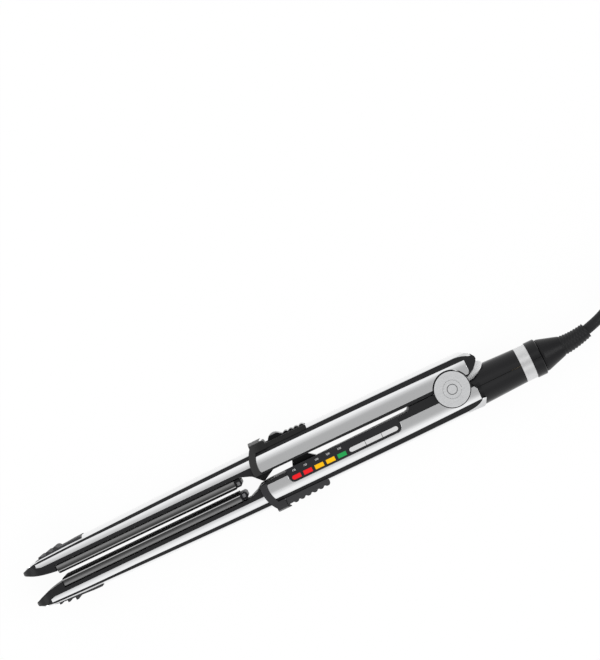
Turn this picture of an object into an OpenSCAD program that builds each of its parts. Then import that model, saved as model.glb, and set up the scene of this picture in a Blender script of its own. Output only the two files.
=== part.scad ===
// Hair straightener lying on its side: two hinged arms with floating heated plates,
// a tail with a swivelling cord exit, and its mains cord folded into a tied hank.
// X runs along the tool (tips at -X, cord at +X), Y is the way the arms open,
// Z points up and is the hinge axis. The origin is on the hinge axis at the resting face.
// Arm shapes are drawn for the arm on the +Y side: y grows outward from the hinge plane
// and z is measured from the middle of the arm's width.

/* [Arms] */
// Length of the handle part, from the hinge axis to the rear end of the plates
handle_len = 128.5; // [124:0.5:136]
// Width of the arms across the plates
arm_w = 33.6; // [32:0.2:37]
// Height of the crown of an arm above the hinge plane
arm_crown = 16.9; // [16.4:0.1:17.8]
// Thickness of the outer cover at its middle
cover_t = 1.9; // [1.6:0.1:2.4]
// Radius of the crown across the arm
crown_r = 70; // [55:1:110]
// Radius of the slight bow of the arms along their length
bow_r = 6200; // [5200:100:9000]
// Distance of the top of the bow in front of the hinge
bow_x = 55; // [45:1:65]
// How much the radius that rounds the sides of the arms exceeds half their width
side_over = 1.2; // [0.6:0.1:6]
// Thickness of the side walls and inner walls of the arm frames
frame_wall = 2; // [1.6:0.1:2.2]
// Thickness of the side panels
panel_t = 0.9; // [0.7:0.1:1.2]
// Height of the side panel's inner edge in the handle
panel_low = 3.8; // [3.4:0.1:4.4]
// Height of the side panel's inner edge beside the plates
panel_mid = 8.7; // [8.5:0.1:9.2]
// Height of the top edge of the side panels
panel_top = 12.6; // [12.2:0.1:13]
// Inner face of the upper handle above the hinge plane
upper_inner = 2.3; // [2:0.1:2.6]
// Inner face of the lower handle below the hinge plane
lower_inner = 1.5; // [1.2:0.1:1.8]
// Length of the black tip in front of the frame
nose_len = 10.4; // [9:0.2:14]

/* [Plates] */
// Length of the heated plates
plate_len = 106.5; // [90:0.5:120]
// Distance from the front end of the plates to the tips
tip_len = 18.4; // [17.4:0.2:22]
// How far the plates stand in from each side of the arms
plate_inset = 1.3; // [0.8:0.1:2.4]
// Gap between the plates at rest
plate_gap = 2.3; // [1.6:0.1:3]
// Thickness of the plates
plate_t = 1.25; // [1:0.05:1.3]
// Height of the back of the plate holders above the hinge plane
holder_back = 5.9; // [5.6:0.1:6]
// How far a plate can be pushed back into its arm
float_travel = 0.5; // [0.3:0.05:0.5]
// Length of the clip at the rear end of each plate
clip_len = 4; // [3.5:0.1:4.2]

/* [Collars and grips] */
// Height of the collar's outer lip above the hinge plane
collar_top = 20.5; // [19.8:0.1:21.5]
// How far the collars stand out from the sides of the arms
collar_proud = 1.2; // [0.9:0.1:1.6]
// Pitch of the ribs on the lower grip
rib_pitch = 3.8; // [3.4:0.1:4]
// Pitch of the fins on the tip pads
fin_pitch = 4.6; // [4:0.1:4.8]
// Travel of the closing lock's slide
lock_travel = 1.2; // [0.8:0.1:1.3]
// Half width of the guide lug that rises from the lower arm
lug_half = 5; // [4:0.1:5.4]

/* [Controls] */
// Distance from the front edge of the collars to the control strip
fascia_gap = 16.7; // [16.5:0.1:18]
// Length of the control strip
fascia_len = 66.9; // [66:0.1:68]
// Length of one light window
led_len = 5.2; // [4.4:0.1:5.6]
// Width of one light window
led_w = 2.4; // [2:0.1:2.8]
// Distance between neighbouring light windows
led_pitch = 6.8; // [6.2:0.1:7]
// Width of the row of keys
key_w = 2.7; // [2.4:0.1:3.2]
// Length of the row of keys
key_row = 29.2; // [27:0.1:30]
// Travel of each key
key_travel = 0.4; // [0.25:0.05:0.45]

/* [Hinge] */
// Radius of the hinge hub
hub_r = 10.3; // [9.8:0.1:10.8]
// Width of the dark rim around the hinge caps
cap_rim = 0.5; // [0.4:0.05:1]
// Radius of the hinge pin
pin_r = 2.5; // [2:0.1:3]
// Free space round the hub and the knuckle
hub_gap = 0.35; // [0.3:0.05:0.5]

/* [Tail] */
// Offset of the tail's axis below the hinge plane
tail_drop = 5; // [4.6:0.1:5.4]
// Radius of the tail at its shoulder
tail_front_r = 10.7; // [10.4:0.1:11]
// Radius of the tail in front of its band
tail_rear_r = 9.85; // [9.7:0.05:10.2]
// Distance from the hinge to the band
band_front = 39.7; // [38:0.1:42]
// Length of the band
band_len = 6.5; // [5:0.1:7]
// Length of the tail's rear collar
tail_collar_len = 5.8; // [5.2:0.1:7]
// Length of the swivel cone
cone_len = 12.2; // [10:0.1:14]
// Diameter of the swivel cone at its rear end
cone_end_d = 11.5; // [10.6:0.1:13]

/* [Cord] */
// Diameter of the mains cord
cord_d = 6; // [5.6:0.1:6.2]
// Length of the ribbed boot
boot_len = 16; // [14:0.5:18]
// Straight length of the hank's runs
hank_run = 46; // [40:1:56]
// Distance between neighbouring turns of the hank
hank_step = 6.8; // [6.7:0.1:7.4]
// Distance between the layers of the hank
layer_step = 6.5; // [6.5:0.1:7]
// How far the runs are drawn in at the tie
waist = 4; // [2:0.2:4]

/* [Hidden] */

curve_fn = 96;
wide_fn = 960;
bow_fn = 3600;
eps = 0.01;
half_w = arm_w / 2;
side_r = half_w + side_over;
plate_w = arm_w - 2 * plate_inset;
plate_front = handle_len + plate_len;
tip_reach = plate_front + tip_len;
side_y = 7;
cap_proud = collar_proud;
mid_z = half_w + collar_proud;
edge_y = arm_crown - cover_t;
channel_half = half_w - panel_t - frame_wall - 0.9;
frame_front = tip_reach - nose_len;
pad_run = 27;
pad_rear = frame_front - pad_run;
panel_front = frame_front + 1.8;
floor_low = holder_back + 0.7;
floor_high = floor_low + frame_wall;
collar_x = handle_len - 11.5;
slide_top = 20.6;
fascia_front = collar_x - fascia_gap;
board_z = channel_half - 5.6;
board_x = [-fascia_front - 1.7, -fascia_front + fascia_len + 2.4];
channel_front = collar_x - 10;
channel_rear = max(-24, board_x[1] + 7);

// the collars, the slide and the grip are drawn for this place of the collars' front edge
collar_drawn = 117;
// the tips and their pads are drawn for this distance of the tips
tip_drawn = 253.4;
tip_frame = tip_drawn - nose_len;
tip_pad_rear = tip_frame - pad_run;
tip_fall = (pow(tip_drawn - bow_x, 2) - pow(tip_reach - bow_x, 2)) / (2 * bow_r);

// height of a bowed edge at distance x, whose highest point has the height y
function bow_y(x, y) = y - pow(x + bow_x, 2) / (2 * bow_r);
function bow_points(x0, x1, y, n) =
    [for (i = [0:n]) let (x = x0 + (x1 - x0) * i / n) [x, bow_y(x, y)]];
// edge of the side panels, a little more curved than the arm itself
function panel_edge(x) = panel_top - pow(x + 95, 2) / 10600 + 0.6 * clamp01((-x - 192) / 30);
function panel_points(x0, x1, n) =
    [for (i = [0:n]) let (x = x0 + (x1 - x0) * i / n) [x, panel_edge(x)]];
function arc(cx, cy, r, a0, a1, n) =
    [for (i = [0:n]) let (a = a0 + (a1 - a0) * i / n) [cx + r * cos(a), cy + r * sin(a)]];

// points drawn for the tips at tip_drawn, moved to where the tips are
function at_tip_points(p) = [for (q = p) [q[0] + tip_drawn - tip_reach, q[1] + tip_fall]];

module on_upper() {
    translate([0, 0, mid_z]) children();
}

module on_lower() {
    translate([0, 0, mid_z]) mirror([0, 1, 0]) children();
}

module at_collar() {
    translate([collar_drawn - collar_x, 0, 0]) children();
}

module at_tip() {
    translate([tip_drawn - tip_reach, tip_fall, 0]) children();
}

// a shape drawn from the side, standing across the arm between two heights in z
module across(z0, z1) {
    translate([0, 0, z0]) linear_extrude(z1 - z0) children();
}

// a section drawn as [y, z], drawn out along the arm
module along(x0, x1) {
    translate([x0, 0, 0]) rotate([90, 0, 90]) linear_extrude(x1 - x0) children();
}

// a section drawn as [y, z], drawn out along the bow of the arm
module bowed(x0, x1) {
    a0 = asin((x0 + bow_x) / bow_r);
    a1 = asin((x1 + bow_x) / bow_r);
    translate([-bow_x, arm_crown - bow_r, 0]) rotate([0, 0, 90 - a1])
        rotate_extrude(angle = a1 - a0, $fn = bow_fn)
            translate([bow_r - arm_crown, 0]) children();
}

module half_limit(side, grow) {
    translate([side_y, side * (half_w - side_r)]) circle(side_r + grow, $fn = curve_fn);
    translate([-8, -half_w - grow]) square([8 + side_y, arm_w + 2 * grow]);
}

// rounded sides of the arm as a section [y, z]
module side_limits(grow = 0) {
    intersection() {
        half_limit(1, grow);
        half_limit(-1, grow);
    }
}

module crown_limit(grow = 0) {
    translate([arm_crown + grow - crown_r, 0]) circle(crown_r, $fn = wide_fn);
}

module arm_sides(x0, x1, grow = 0) {
    along(x0, x1) side_limits(grow);
}

/* Outlines of the arm frames, seen from the side */

front_edge = [[-frame_front, floor_low], [-(plate_front - plate_len) + clip_len + 0.5, floor_low]];

module upper_outline() {
    polygon(concat(
        front_edge,
        [[-collar_x - 5.9, 5.8], [-collar_x - 2.4, 4.5], [-collar_x + 1.5, upper_inner + 0.3],
         [-collar_x + 30, upper_inner + 0.3], [-27, upper_inner - 0.3], [0, upper_inner - 0.3],
         [10.4, upper_inner + 0.1], [14.6, 4.6], [17, 7.1], [18.7, 9.7], [18.5, 11.2],
         [17, 13.2]],
        bow_points(14, -frame_front, edge_y, 12)
    ));
}

module lower_outline() {
    polygon(concat(
        front_edge,
        [[-collar_x - 5.4, 5.9], [-collar_x - 2.2, 4.6], [-collar_x + 0.9, 2.5],
         [-collar_x + 4, lower_inner + 0.5], [-collar_x + 7.2, lower_inner + 0.4],
         [-collar_x + 30, lower_inner + 0.1], [-28, lower_inner - 0.7],
         [-26.4, lower_inner - 1.2], [-25.6, -lower_inner + 0.8], [-25.2, -lower_inner],
         [0, -lower_inner], [9, 0.4], [12.9, 5.8], [12.9, 11.4], [11.9, 14.5]],
        bow_points(11.8, -frame_front, edge_y, 12)
    ));
}

module channel(inner) {
    // handle part
    translate([-channel_front, inner + frame_wall + 0.3, -channel_half])
        cube([channel_front + channel_rear, 20, 2 * channel_half]);
    // part behind the plates
    translate([-frame_front + 4, floor_high, -channel_half])
        cube([frame_front - 4 - channel_front + 0.5, 20, 2 * channel_half]);
}

stem_places = [-plate_front + 20, -plate_front + plate_len - 22];
lead_drop_x = -plate_front + plate_len - 8;
lead_z = 6;

module plate_windows() {
    for (x = stem_places)
        translate([x, floor_low - 1, 0]) rotate([-90, 0, 0])
            cylinder(r = 3.4, h = frame_wall + 2, $fn = curve_fn);
    for (z = [-lead_z, lead_z])
        translate([lead_drop_x, floor_low - 1, z]) rotate([-90, 0, 0])
            cylinder(r = 1.6, h = frame_wall + 2, $fn = curve_fn);
}

module panel_outline(x1) {
    // narrow part beside the plates, wide part in the handle, joined under the collar
    polygon(concat(
        [[-panel_front, panel_mid + 0.7], [-panel_front + 2.5, panel_mid],
         [-collar_x + 2, panel_mid], [-collar_x + 4.5, panel_low], [x1 - 1, panel_low],
         [x1, panel_low + 1.5]],
        panel_points(x1, -panel_front, 25)
    ));
}

module panel_ring() {
    difference() {
        arm_sides(-tip_reach, 20);
        arm_sides(-tip_reach - 1, 21, -panel_t);
    }
}

panel_rear_upper = 12.5;
panel_rear_lower = 12.4;

module hub_clearance(r) {
    for (side = [-1, 1])
        translate([0, 0, side * (half_w + 3)]) cylinder(r = r, h = 2 * (3 + hub_t + 0.3),
            center = true, $fn = curve_fn);
}

hub_t = 4.2;
knuckle_r = hub_r - 0.9;
knuckle_half = half_w - hub_t - 0.4;

module fascia_plan(grow = 0) {
    // seen from above in the lower arm: x along, y outward
    x0 = -fascia_front - grow;
    x1 = -fascia_front + fascia_len + grow;
    top = 8.6 + grow;
    r = 3;
    difference() {
        translate([x0, lower_inner - 1]) square([x1 - x0, top - lower_inner + 1]);
        translate([x0 - eps, top - r]) square([r, r + eps]);
        translate([x1 - r, top - r]) square([r + eps, r + eps]);
    }
    translate([x0 + r, top - r]) circle(r, $fn = curve_fn);
    translate([x1 - r, top - r]) circle(r, $fn = curve_fn);
}

/* Screws that join the cover to the frame */

screw_places = [-fascia_front + 28.3, -fascia_front + 52.3];
boss_r = 2.6;
screw_z = -channel_half + 2.8;

module screw_set(inner) {
    for (x = screw_places)
        translate([x, inner + 0.6, screw_z]) rotate([-90, 0, 0]) {
            cylinder(r = 2.1, h = 1.2, $fn = curve_fn);
            cylinder(r = 1.1, h = 9, $fn = curve_fn);
        }
}

module screw_cuts(inner) {
    for (x = screw_places)
        translate([x, inner - 2, screw_z]) rotate([-90, 0, 0]) {
            cylinder(r = 2.3, h = 3.8, $fn = curve_fn);
            cylinder(r = 1.3, h = 8, $fn = curve_fn);
        }
}

module boss_set(inner) {
    for (x = screw_places)
        difference() {
            translate([x, inner + frame_wall + 0.4, screw_z]) rotate([-90, 0, 0])
                cylinder(r = boss_r, h = bow_y(x, edge_y) - inner - frame_wall, $fn = curve_fn);
            translate([x, inner, screw_z]) rotate([-90, 0, 0])
                cylinder(r = 1.1, h = 9.6, $fn = curve_fn);
        }
}

/* Upper arm */

lug_slot = [-97, -84.4];

module upper_frame() {
    color("#17171a") on_upper() difference() {
        union() {
            upper_frame_body();
            cylinder(r = knuckle_r, h = 2 * knuckle_half, center = true, $fn = curve_fn);
            knuckle_block(knuckle_half);
        }
        cylinder(r = pin_r + 0.06, h = 60, center = true, $fn = curve_fn);
        cylinder(r = 5.6, h = 10, center = true, $fn = curve_fn);
    }
}

module upper_frame_body() {
    difference() {
        union() {
            intersection() {
                across(-half_w, half_w) upper_outline();
                arm_sides(-tip_reach, 20);
            }
            rear_cap_upper();
            // tongue between the collars
            at_collar() across(-6, 6) polygon([[-121, 5.4], [-119.4, 4.5], [-114.2, -0.9],
                [-113.6, -1.3], [-112.8, -1.3], [-112, -0.9], [-105.3, upper_inner + 0.4],
                [-105, 4], [-118, 6.2]]);
        }
        difference() {
            channel(upper_inner);
            knuckle_block(channel_half + 0.2);
        }
        rear_hollow();
        plate_windows();
        hub_clearance(hub_r + hub_gap);
        panel_recess(panel_rear_upper);
        rear_slot();
        across(-half_w - 1, half_w + 1)
            polygon(concat(wrap_line, [[wrap_line[5][0] + 0.4, 19], [wrap_line[0][0], 19]]));
        // free space round the knuckle, where the frame doesn't carry it
        difference() {
            cylinder(r = hub_r + hub_gap, h = 2 * knuckle_half + 0.2, center = true,
                $fn = curve_fn);
            knuckle_block(knuckle_half);
        }
        at_collar() translate([lug_slot[0], -3, -lug_half - 0.6])
            cube([lug_slot[1] - lug_slot[0], 10, 2 * lug_half + 1.2]);
        screw_cuts(upper_inner);
    }
}

module rear_hollow() {
    difference() {
        intersection() {
            translate([-26, upper_inner + frame_wall + 0.3, -channel_half])
                cube([45, 20, 2 * channel_half]);
            across(-20, 20) polygon([[-30, 4], [10.4, 4.6], [13.2, 5.4], [15.2, 7.8],
                [16.6, 10], [14.8, 11.7], [12, 12.9], [8, 13.6], [-30, 14.9]]);
        }
        knuckle_block(channel_half + 0.2);
    }
}

// line on the upper arm's rear end under the cover's thin end
wrap_line = [[8, bow_y(8, edge_y)], [10, 14.45], [12, 14], [14, 13.3], [15.6, 12.5], [16.9, 12.25]];
// the same line on the lower arm
lower_wrap_line = [[3, bow_y(3, edge_y)], [6, 14.5], [8.5, 14.05], [10.5, 13.4], [12.2, 12.4],
    [13, 11.45]];

// black end of the upper arm behind its cover
module rear_cap_upper() {
    intersection() {
        across(-half_w, half_w) polygon([[8, 13], [8, bow_y(8, arm_crown) - 0.1],
            [12.5, 15.7], [15.2, 14.2], [17.4, 12.2], [18.5, 10.8], [14, 12]]);
        arm_sides(-5, 20);
        bowed(-5, 20) crown_limit();
    }
}

// solid part of the arm that carries the knuckle
module knuckle_block(half) {
    across(-half, half)
        polygon([[-24, upper_inner - 0.3], [-24, 6], [-12, 13.6], [2, 13.6], [4.6, 10.4],
                 [5.6, 7.6], [5.6, upper_inner - 0.3]]);
}

// room for the hinge bracket in the rear of the upper arm
module rear_slot() {
    intersection() {
        translate([0, 0, -10.2]) linear_extrude(20.4)
            polygon([[0, 0], [24, -14], [32, 0], [24, 24], [15.6, 18.6]]);
        difference() {
            cylinder(r = 30, h = 20.4, center = true, $fn = curve_fn);
            cylinder(r = knuckle_r + 0.3, h = 22, center = true, $fn = curve_fn);
            translate([0, 0, -15]) linear_extrude(30)
                polygon([[4, 13.9], [12, 13.6], [14, 12.6], [16, 20], [0, 20]]);
        }
    }
}

module panel_recess(x1) {
    intersection() {
        across(-half_w - 1, half_w + 1) panel_outline(x1);
        panel_ring();
    }
}

module cover_blank(x0, x1) {
    intersection() {
        bowed(x0, x1) intersection() {
            crown_limit();
            translate([edge_y, -half_w]) square([6, arm_w]);
        }
        arm_sides(x0 - 2, x1 + 2);
    }
    // rib that seats inside the frame
    difference() {
        bowed(x0 + 5, -26) translate([edge_y - 1, -channel_half + 0.1])
            square([1 + eps, 2 * channel_half - 0.2]);
        bowed(x0 + 6.2, -27.2) translate([edge_y - 2, -channel_half + 1.3])
            square([2, 2 * channel_half - 2.6]);
    }
}

// front end of the cover, which runs on under the tip pad and over the nose
tongue_top = [[-250.8, 10.95], [-250, 11.45], [-248.5, 11.9], [-246.5, 12.2], [-244.3, 12.45],
    [-241, 12.75], [-236, 12.95], [-231, 13.15], [-226, 13.4], [-221, 13.48], [-215, 13.5]];
tongue_low = [[-246, 11.7], [-248, 11.32], [-249.6, 11], [-251, 10.57]];

module cover_tongue() {
    intersection() {
        across(-half_w, half_w) polygon(concat(
            bow_points(-pad_rear + 1, -frame_front, edge_y + 0.02, 5),
            [for (q = at_tip_points(tongue_low)) [q[0], q[1] + 0.04]],
            at_tip_points(tongue_top)
        ));
        arm_sides(-tip_reach - 1, -pad_rear + 2);
        nose_plan();
    }
}

// thin end of the cover that bends over the rear of the arm
module upper_wrap() {
    difference() {
        intersection() {
            across(-half_w, half_w) polygon(concat([[7.4, bow_y(7.4, edge_y) + 0.3]], wrap_line,
                [[16.6, 12.9], [15.5, 14.1], [14.1, 15.1], [12.4, 15.85], [10.4, 16.4], [7.4, 16.6]]));
            arm_sides(5, 20);
            bowed(5, 20) crown_limit();
        }
        rear_slot();
    }
}

slide_slot = [-87.3, -81.6];

module upper_cover() {
    color("#c9cbce") on_upper() {
        difference() {
            union() {
                cover_blank(-pad_rear, 8);
                cover_tongue();
                upper_wrap();
            }
            at_collar() translate([slide_slot[0], 10, -2.9])
                cube([slide_slot[1] - slide_slot[0], 12, 5.8]);
        }
        boss_set(upper_inner);
    }
}

module arm_panel(side, x1) {
    intersection() {
        across(-half_w - 1, half_w + 1) panel_outline(x1);
        panel_ring();
        translate([-300, -20, side > 0 ? 0 : -40]) cube([400, 60, 40]);
    }
}

module upper_panel_top() {
    color("#bfc2c6") on_upper() difference() {
        arm_panel(1, panel_rear_upper);
        hub_clearance(hub_r + hub_gap);
    }
}

module upper_panel_under() {
    color("#bfc2c6") on_upper() difference() {
        arm_panel(-1, panel_rear_upper);
        hub_clearance(hub_r + hub_gap);
    }
}

/* Collars, tips, pads and grips */

module collar_profile() {
    intersection() {
        difference() {
            translate([-98.5, 6.5]) circle(18.5, $fn = 2 * curve_fn);
            translate([-96, 6.5]) circle(17, $fn = 2 * curve_fn);
        }
        translate([-120, 2.8]) square([20, collar_top - 2.8]);
    }
}

// straight stand-in for a short stretch of the bowed crown
module seat(x0, x1, lift) {
    rise = bow_y(x1, arm_crown) - bow_y(x0, arm_crown);
    translate([x0, bow_y(x0, arm_crown) + lift, 0]) rotate([0, 0, atan(rise / (x1 - x0))])
        translate([-10, 0, 0]) rotate([90, 0, 90]) linear_extrude(x1 - x0 + 20) {
            translate([-crown_r, 0]) circle(crown_r, $fn = wide_fn);
            translate([-arm_crown - 10, -half_w - 2])
                square([edge_y + 10, arm_w + 4]);
        }
}

module collar_ring() {
    difference() {
        at_collar() intersection() {
            union() {
                across(-half_w - 4, half_w + 4) collar_profile();
                children();
            }
            along(-130, -75) intersection() {
                side_limits(collar_proud);
                translate([collar_top - crown_r, 0]) circle(crown_r, $fn = wide_fn);
            }
        }
        intersection() {
            arm_sides(-collar_x - 20, -collar_x + 45);
            seat(-collar_x - 1, -collar_x + 14, 0.02);
        }
    }
}

module upper_collar() {
    color("#2b2b2e") on_upper() {
        collar_ring() slide_stop();
        for (side = [-1, 1]) slide_bed(side);
    }
}

// strips beside the slide, wrapped round the edges of the cover
module slide_bed(side) {
    difference() {
        intersection() {
            at_collar() across(side > 0 ? 9.3 : -half_w - 4, side > 0 ? half_w + 4 : -9.3)
                polygon([[-106, 14.6], [-106, 17.2], [-80.8, 17.3], [-80.2, 16.8],
                    [-80.2, 14.7]]);
            arm_sides(-collar_x + 5, -collar_x + 45, 0.5);
        }
        intersection() {
            arm_sides(-collar_x, -collar_x + 50);
            seat(-collar_x + 14, -collar_x + 36, 0.06);
        }
    }
}

// low block behind the upper collar that stops the slide
module slide_stop() {
    across(-half_w - 4, half_w + 4) polygon([[-113.2, 14.5], [-113.2, 20.5], [-111.6, 20.4],
        [-109.6, 19.7], [-107.6, 18.9], [-106.4, 18.7], [-105.3, 19.1], [-104.6, 18.8],
        [-104.1, 16.9], [-104.1, 14.5]]);
}

module lower_collar() {
    color("#2b2b2e") on_lower() collar_ring() grip_heel();
}

module grip_heel() {
    across(-half_w - 4, half_w + 4) polygon([[-113.2, 14.5], [-113.2, 20.5], [-111.6, 20.5],
        [-109.6, 20.2], [-108.2, 19.2], [-107.2, 18.7], [-107.2, 14.5]]);
}

grip_front = 107;
grip_rear = 81.6;
grip_ribs = 6;
grip_half = half_w - 0.6;
pad_half = half_w - 2.4;

module lower_grip() {
    color("#2f2f32") on_lower() difference() {
        intersection() {
            union() {
                at_collar() across(-half_w - 4, half_w + 4)
                    polygon([[-grip_front, 14.5], [-grip_front, 18.6], [-104, 18.3],
                             [-grip_rear - 1.6, 17.5], [-grip_rear, 16.6], [-grip_rear, 14.6]]);
                for (i = [0:grip_ribs - 1])
                    at_collar() across(-grip_half, grip_half)
                        translate([-82.9 - rib_pitch * i, 16.6 + 0.16 * i])
                            circle(1.75, $fn = curve_fn);
            }
            arm_sides(-collar_x + 2, -collar_x + 42, 0.6);
        }
        intersection() {
            arm_sides(-collar_x - 20, -collar_x + 60);
            seat(-collar_x + 10, -collar_x + 36.4, 0.03);
        }
    }
}

module tip_pad() {
    difference() {
        intersection() {
            at_tip() union() {
                across(-pad_half, pad_half)
                    polygon([[-tip_frame - 1.3, 10], [-tip_frame - 1.3, 12.6], [-tip_frame - 0.6, 12.8],
                             [-241.3, 13.2], [-238, 13.6], [-232, 14.1], [-226.5, 14.4],
                             [-222, 14.75], [-216.8, 14.9], [-tip_pad_rear, 14.1],
                             [-tip_pad_rear, 10]]);
                for (i = [0:2])
                    across(-pad_half, pad_half) translate([-231.9 - fin_pitch * i, 13.2 - 0.75 * i])
                        intersection() {
                            circle(2.4, $fn = curve_fn);
                            translate([-0.7, -3]) square([3, 6]);
                        }
            }
            arm_sides(-frame_front - 7, -pad_rear + 16);
        }
        across(-half_w - 4, half_w + 4) polygon(concat(
            [[-pad_rear + 20, 13.5], [-pad_rear + 20, 0], [-tip_reach - 10, 0], [-tip_reach - 10, 9]],
            at_tip_points(tongue_top)));
    }
}

module upper_tip_pad() {
    color("#1a1a1c") on_upper() tip_pad();
}

module lower_tip_pad() {
    color("#1a1a1c") on_lower() tip_pad();
}

nose_r = 1.4;
nose_run = tip_reach - 2.6 - plate_front - 0.45;

// the tips are rounded in plan
module nose_plan() {
    rotate([-90, 0, 0]) linear_extrude(30) {
        translate([-tip_reach + 9, -half_w]) square([60, arm_w]);
        translate([-tip_reach, -half_w + 9]) square([60, arm_w - 18]);
        for (side = [-1, 1])
            translate([-tip_reach + 9, side * (half_w - 9)]) circle(9, $fn = curve_fn);
    }
}

// lens-shaped tip, which reaches back under the frame to the front of the plate
module nose_cap() {
    difference() {
        intersection() {
            across(-half_w, half_w) polygon(concat(
                [for (i = [0:12]) let (u = i / 12)
                    [-plate_front - 0.45 - nose_run * u,
                     3.2 + 2.1 * u + 1.7 * pow(u, 3) + tip_fall * u]],
                arc(-tip_reach + nose_r, 8.85 + tip_fall, nose_r, 225, 100, 8),
                at_tip_points([for (i = [3:-1:0]) tongue_low[i]]),
                [[-frame_front, bow_y(-frame_front, edge_y) - 0.02], [-frame_front, floor_low],
                 [-plate_front - 0.45, floor_low]]
            ));
            arm_sides(-tip_reach - 7, -plate_front + 5);
            nose_plan();
        }
        panel_recess(0);
    }
}

module upper_nose() {
    color("#202024") on_upper() nose_cap();
}

module lower_nose() {
    color("#202024") on_lower() nose_cap();
}

hook_y = upper_inner + frame_wall + 0.4;

module lock_slide() {
    color("#0d0d0f") on_upper() {
        difference() {
            at_collar() intersection() {
                union() {
                    across(-9, 9)
                        polygon([[-102.4, 14.5], [-102.6, 17.2], [-101.1, 19.4], [-99.4, 20.3],
                            [-98, 20.6], [-96.6, 20.2], [-94.6, 18.7], [-93.4, 17.9],
                            [-81.4, 17.3], [-80.7, 16.4], [-80.9, 14.5]]);
                    for (i = [0:3])
                        across(-9, 9) translate([-82.3 - 3.1 * i, 16.5 + 0.12 * i])
                            circle(1.7, $fn = curve_fn);
                }
                along(-110, -70) translate([slide_top - 40, 0]) circle(40, $fn = wide_fn);
            }
            seat(-collar_x + 14, -collar_x + 37, 0.3);
        }
        // stem through the cover, its flange and the hook that takes the lug
        at_collar() {
            translate([-85.2, hook_y, -2.5]) cube([3, 17.4 - hook_y, 5]);
            translate([-86.4, 12.2, -4.2]) cube([4.8, 1, 8.4]);
            translate([-86.6, hook_y, -2.5]) cube([2, 0.7, 5]);
        }
    }
}

/* Floating plates */

holder_half = plate_w / 2 + 0.3;
plate_face = plate_gap / 2;
plate_back = plate_face + plate_t;
plate_rear = -plate_front + plate_len;
heater_x = [-plate_front + 12, -plate_front + plate_len - 14];

module plate_holder() {
    difference() {
        union() {
            translate([-plate_front, plate_back, -holder_half])
                cube([plate_len, holder_back - plate_back, 2 * holder_half]);
            for (x = stem_places)
                translate([x, holder_back - 1, 0]) rotate([-90, 0, 0]) {
                    cylinder(r = 3, h = floor_high + 0.1 - holder_back + 1, $fn = curve_fn);
                    translate([0, 0, floor_high + 0.1 - holder_back + 1])
                        cylinder(r = 4.4, h = 1.4, $fn = curve_fn);
                }
        }
        translate([heater_x[0], plate_back + 0.8, -8])
            cube([heater_x[1] - heater_x[0] + 20, holder_back - plate_back - 1.4, 16]);
        // grooves along both sides
        for (side = [-1, 1])
            translate([-plate_front - 1, plate_back + 0.9, side * holder_half - 0.5])
                cube([plate_len + 2, 0.9, 1]);
    }
}

module heated_plate() {
    intersection() {
        across(-plate_w / 2, plate_w / 2) polygon(concat(
            [[-plate_front + 0.1, plate_back]],
            arc(-plate_front + 1.1, plate_back, 1, 180, 270, 6),
            [[plate_rear, plate_face], [plate_rear, plate_back]]
        ));
        along(-plate_front - 1, plate_rear + 1) union() {
            translate([plate_face, -plate_w / 2 + 1]) square([plate_t, plate_w - 2]);
            translate([plate_face + 1, -plate_w / 2]) square([plate_t - 1, plate_w]);
            for (side = [-1, 1])
                translate([plate_face + 1, side * (plate_w / 2 - 1)]) circle(1, $fn = curve_fn);
        }
    }
}

module heater_block() {
    translate([heater_x[0], plate_back + 0.8, -8])
        cube([heater_x[1] - heater_x[0], holder_back - plate_back - 1.4, 16]);
}

module plate_clip() {
    difference() {
        across(-14, 14) polygon([[plate_rear, plate_face + 0.5], [plate_rear + clip_len - 1, plate_face + 0.5],
            [plate_rear + clip_len, plate_face + 1.5], [plate_rear + clip_len, holder_back - 1],
            [plate_rear + clip_len - 1, holder_back], [plate_rear, holder_back]]);
        // a shallow window in each side
        for (side = [-1, 1])
            translate([plate_rear + 0.9, plate_face + 1.2, side * 14 - 0.4])
                cube([clip_len - 1.8, 2.4, 0.8]);
    }
}

pad_y = floor_high + 1.6 + float_travel;

module float_pads() {
    for (x = stem_places)
        translate([x, pad_y, 0]) rotate([-90, 0, 0])
            cylinder(r = 3.2, h = bow_y(x, edge_y) - pad_y - 0.2, $fn = curve_fn);
}

module upper_holder() {
    color("#6f7175") on_upper() plate_holder();
}

module lower_holder() {
    color("#6f7175") on_lower() plate_holder();
}

module upper_plate() {
    color("#2a2a2c") on_upper() heated_plate();
}

module lower_plate() {
    color("#2a2a2c") on_lower() heated_plate();
}

module upper_heater() {
    color("#d8d2c4") on_upper() heater_block();
}

module lower_heater() {
    color("#d8d2c4") on_lower() heater_block();
}

module upper_plate_clip() {
    color("#3a3a3d") on_upper() plate_clip();
}

module lower_plate_clip() {
    color("#3a3a3d") on_lower() plate_clip();
}

module upper_float_pads() {
    color("#b8432f") on_upper() float_pads();
}

module lower_float_pads() {
    color("#b8432f") on_lower() float_pads();
}

/* Leads inside the arms */

lead_r = 0.9;
lead_y = 10.2;

// two leads from the back of a plate along the arm
module lead_pair(x_ends) {
    for (i = [0, 1]) {
        z = i == 0 ? lead_z : -lead_z;
        translate([lead_drop_x, floor_low - 0.1, z]) rotate([-90, 0, 0])
            cylinder(r = lead_r, h = lead_y - floor_low + 0.1, $fn = 24);
        translate([lead_drop_x, lead_y, z]) sphere(lead_r + 0.03, $fn = 24);
        translate([lead_drop_x, lead_y, z]) rotate([0, 90, 0])
            cylinder(r = lead_r, h = x_ends[i] - lead_drop_x, $fn = 24);
    }
}

module upper_leads() {
    color("#c23b2e") on_upper() lead_pair([-24.1, -24.1]);
}

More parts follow.
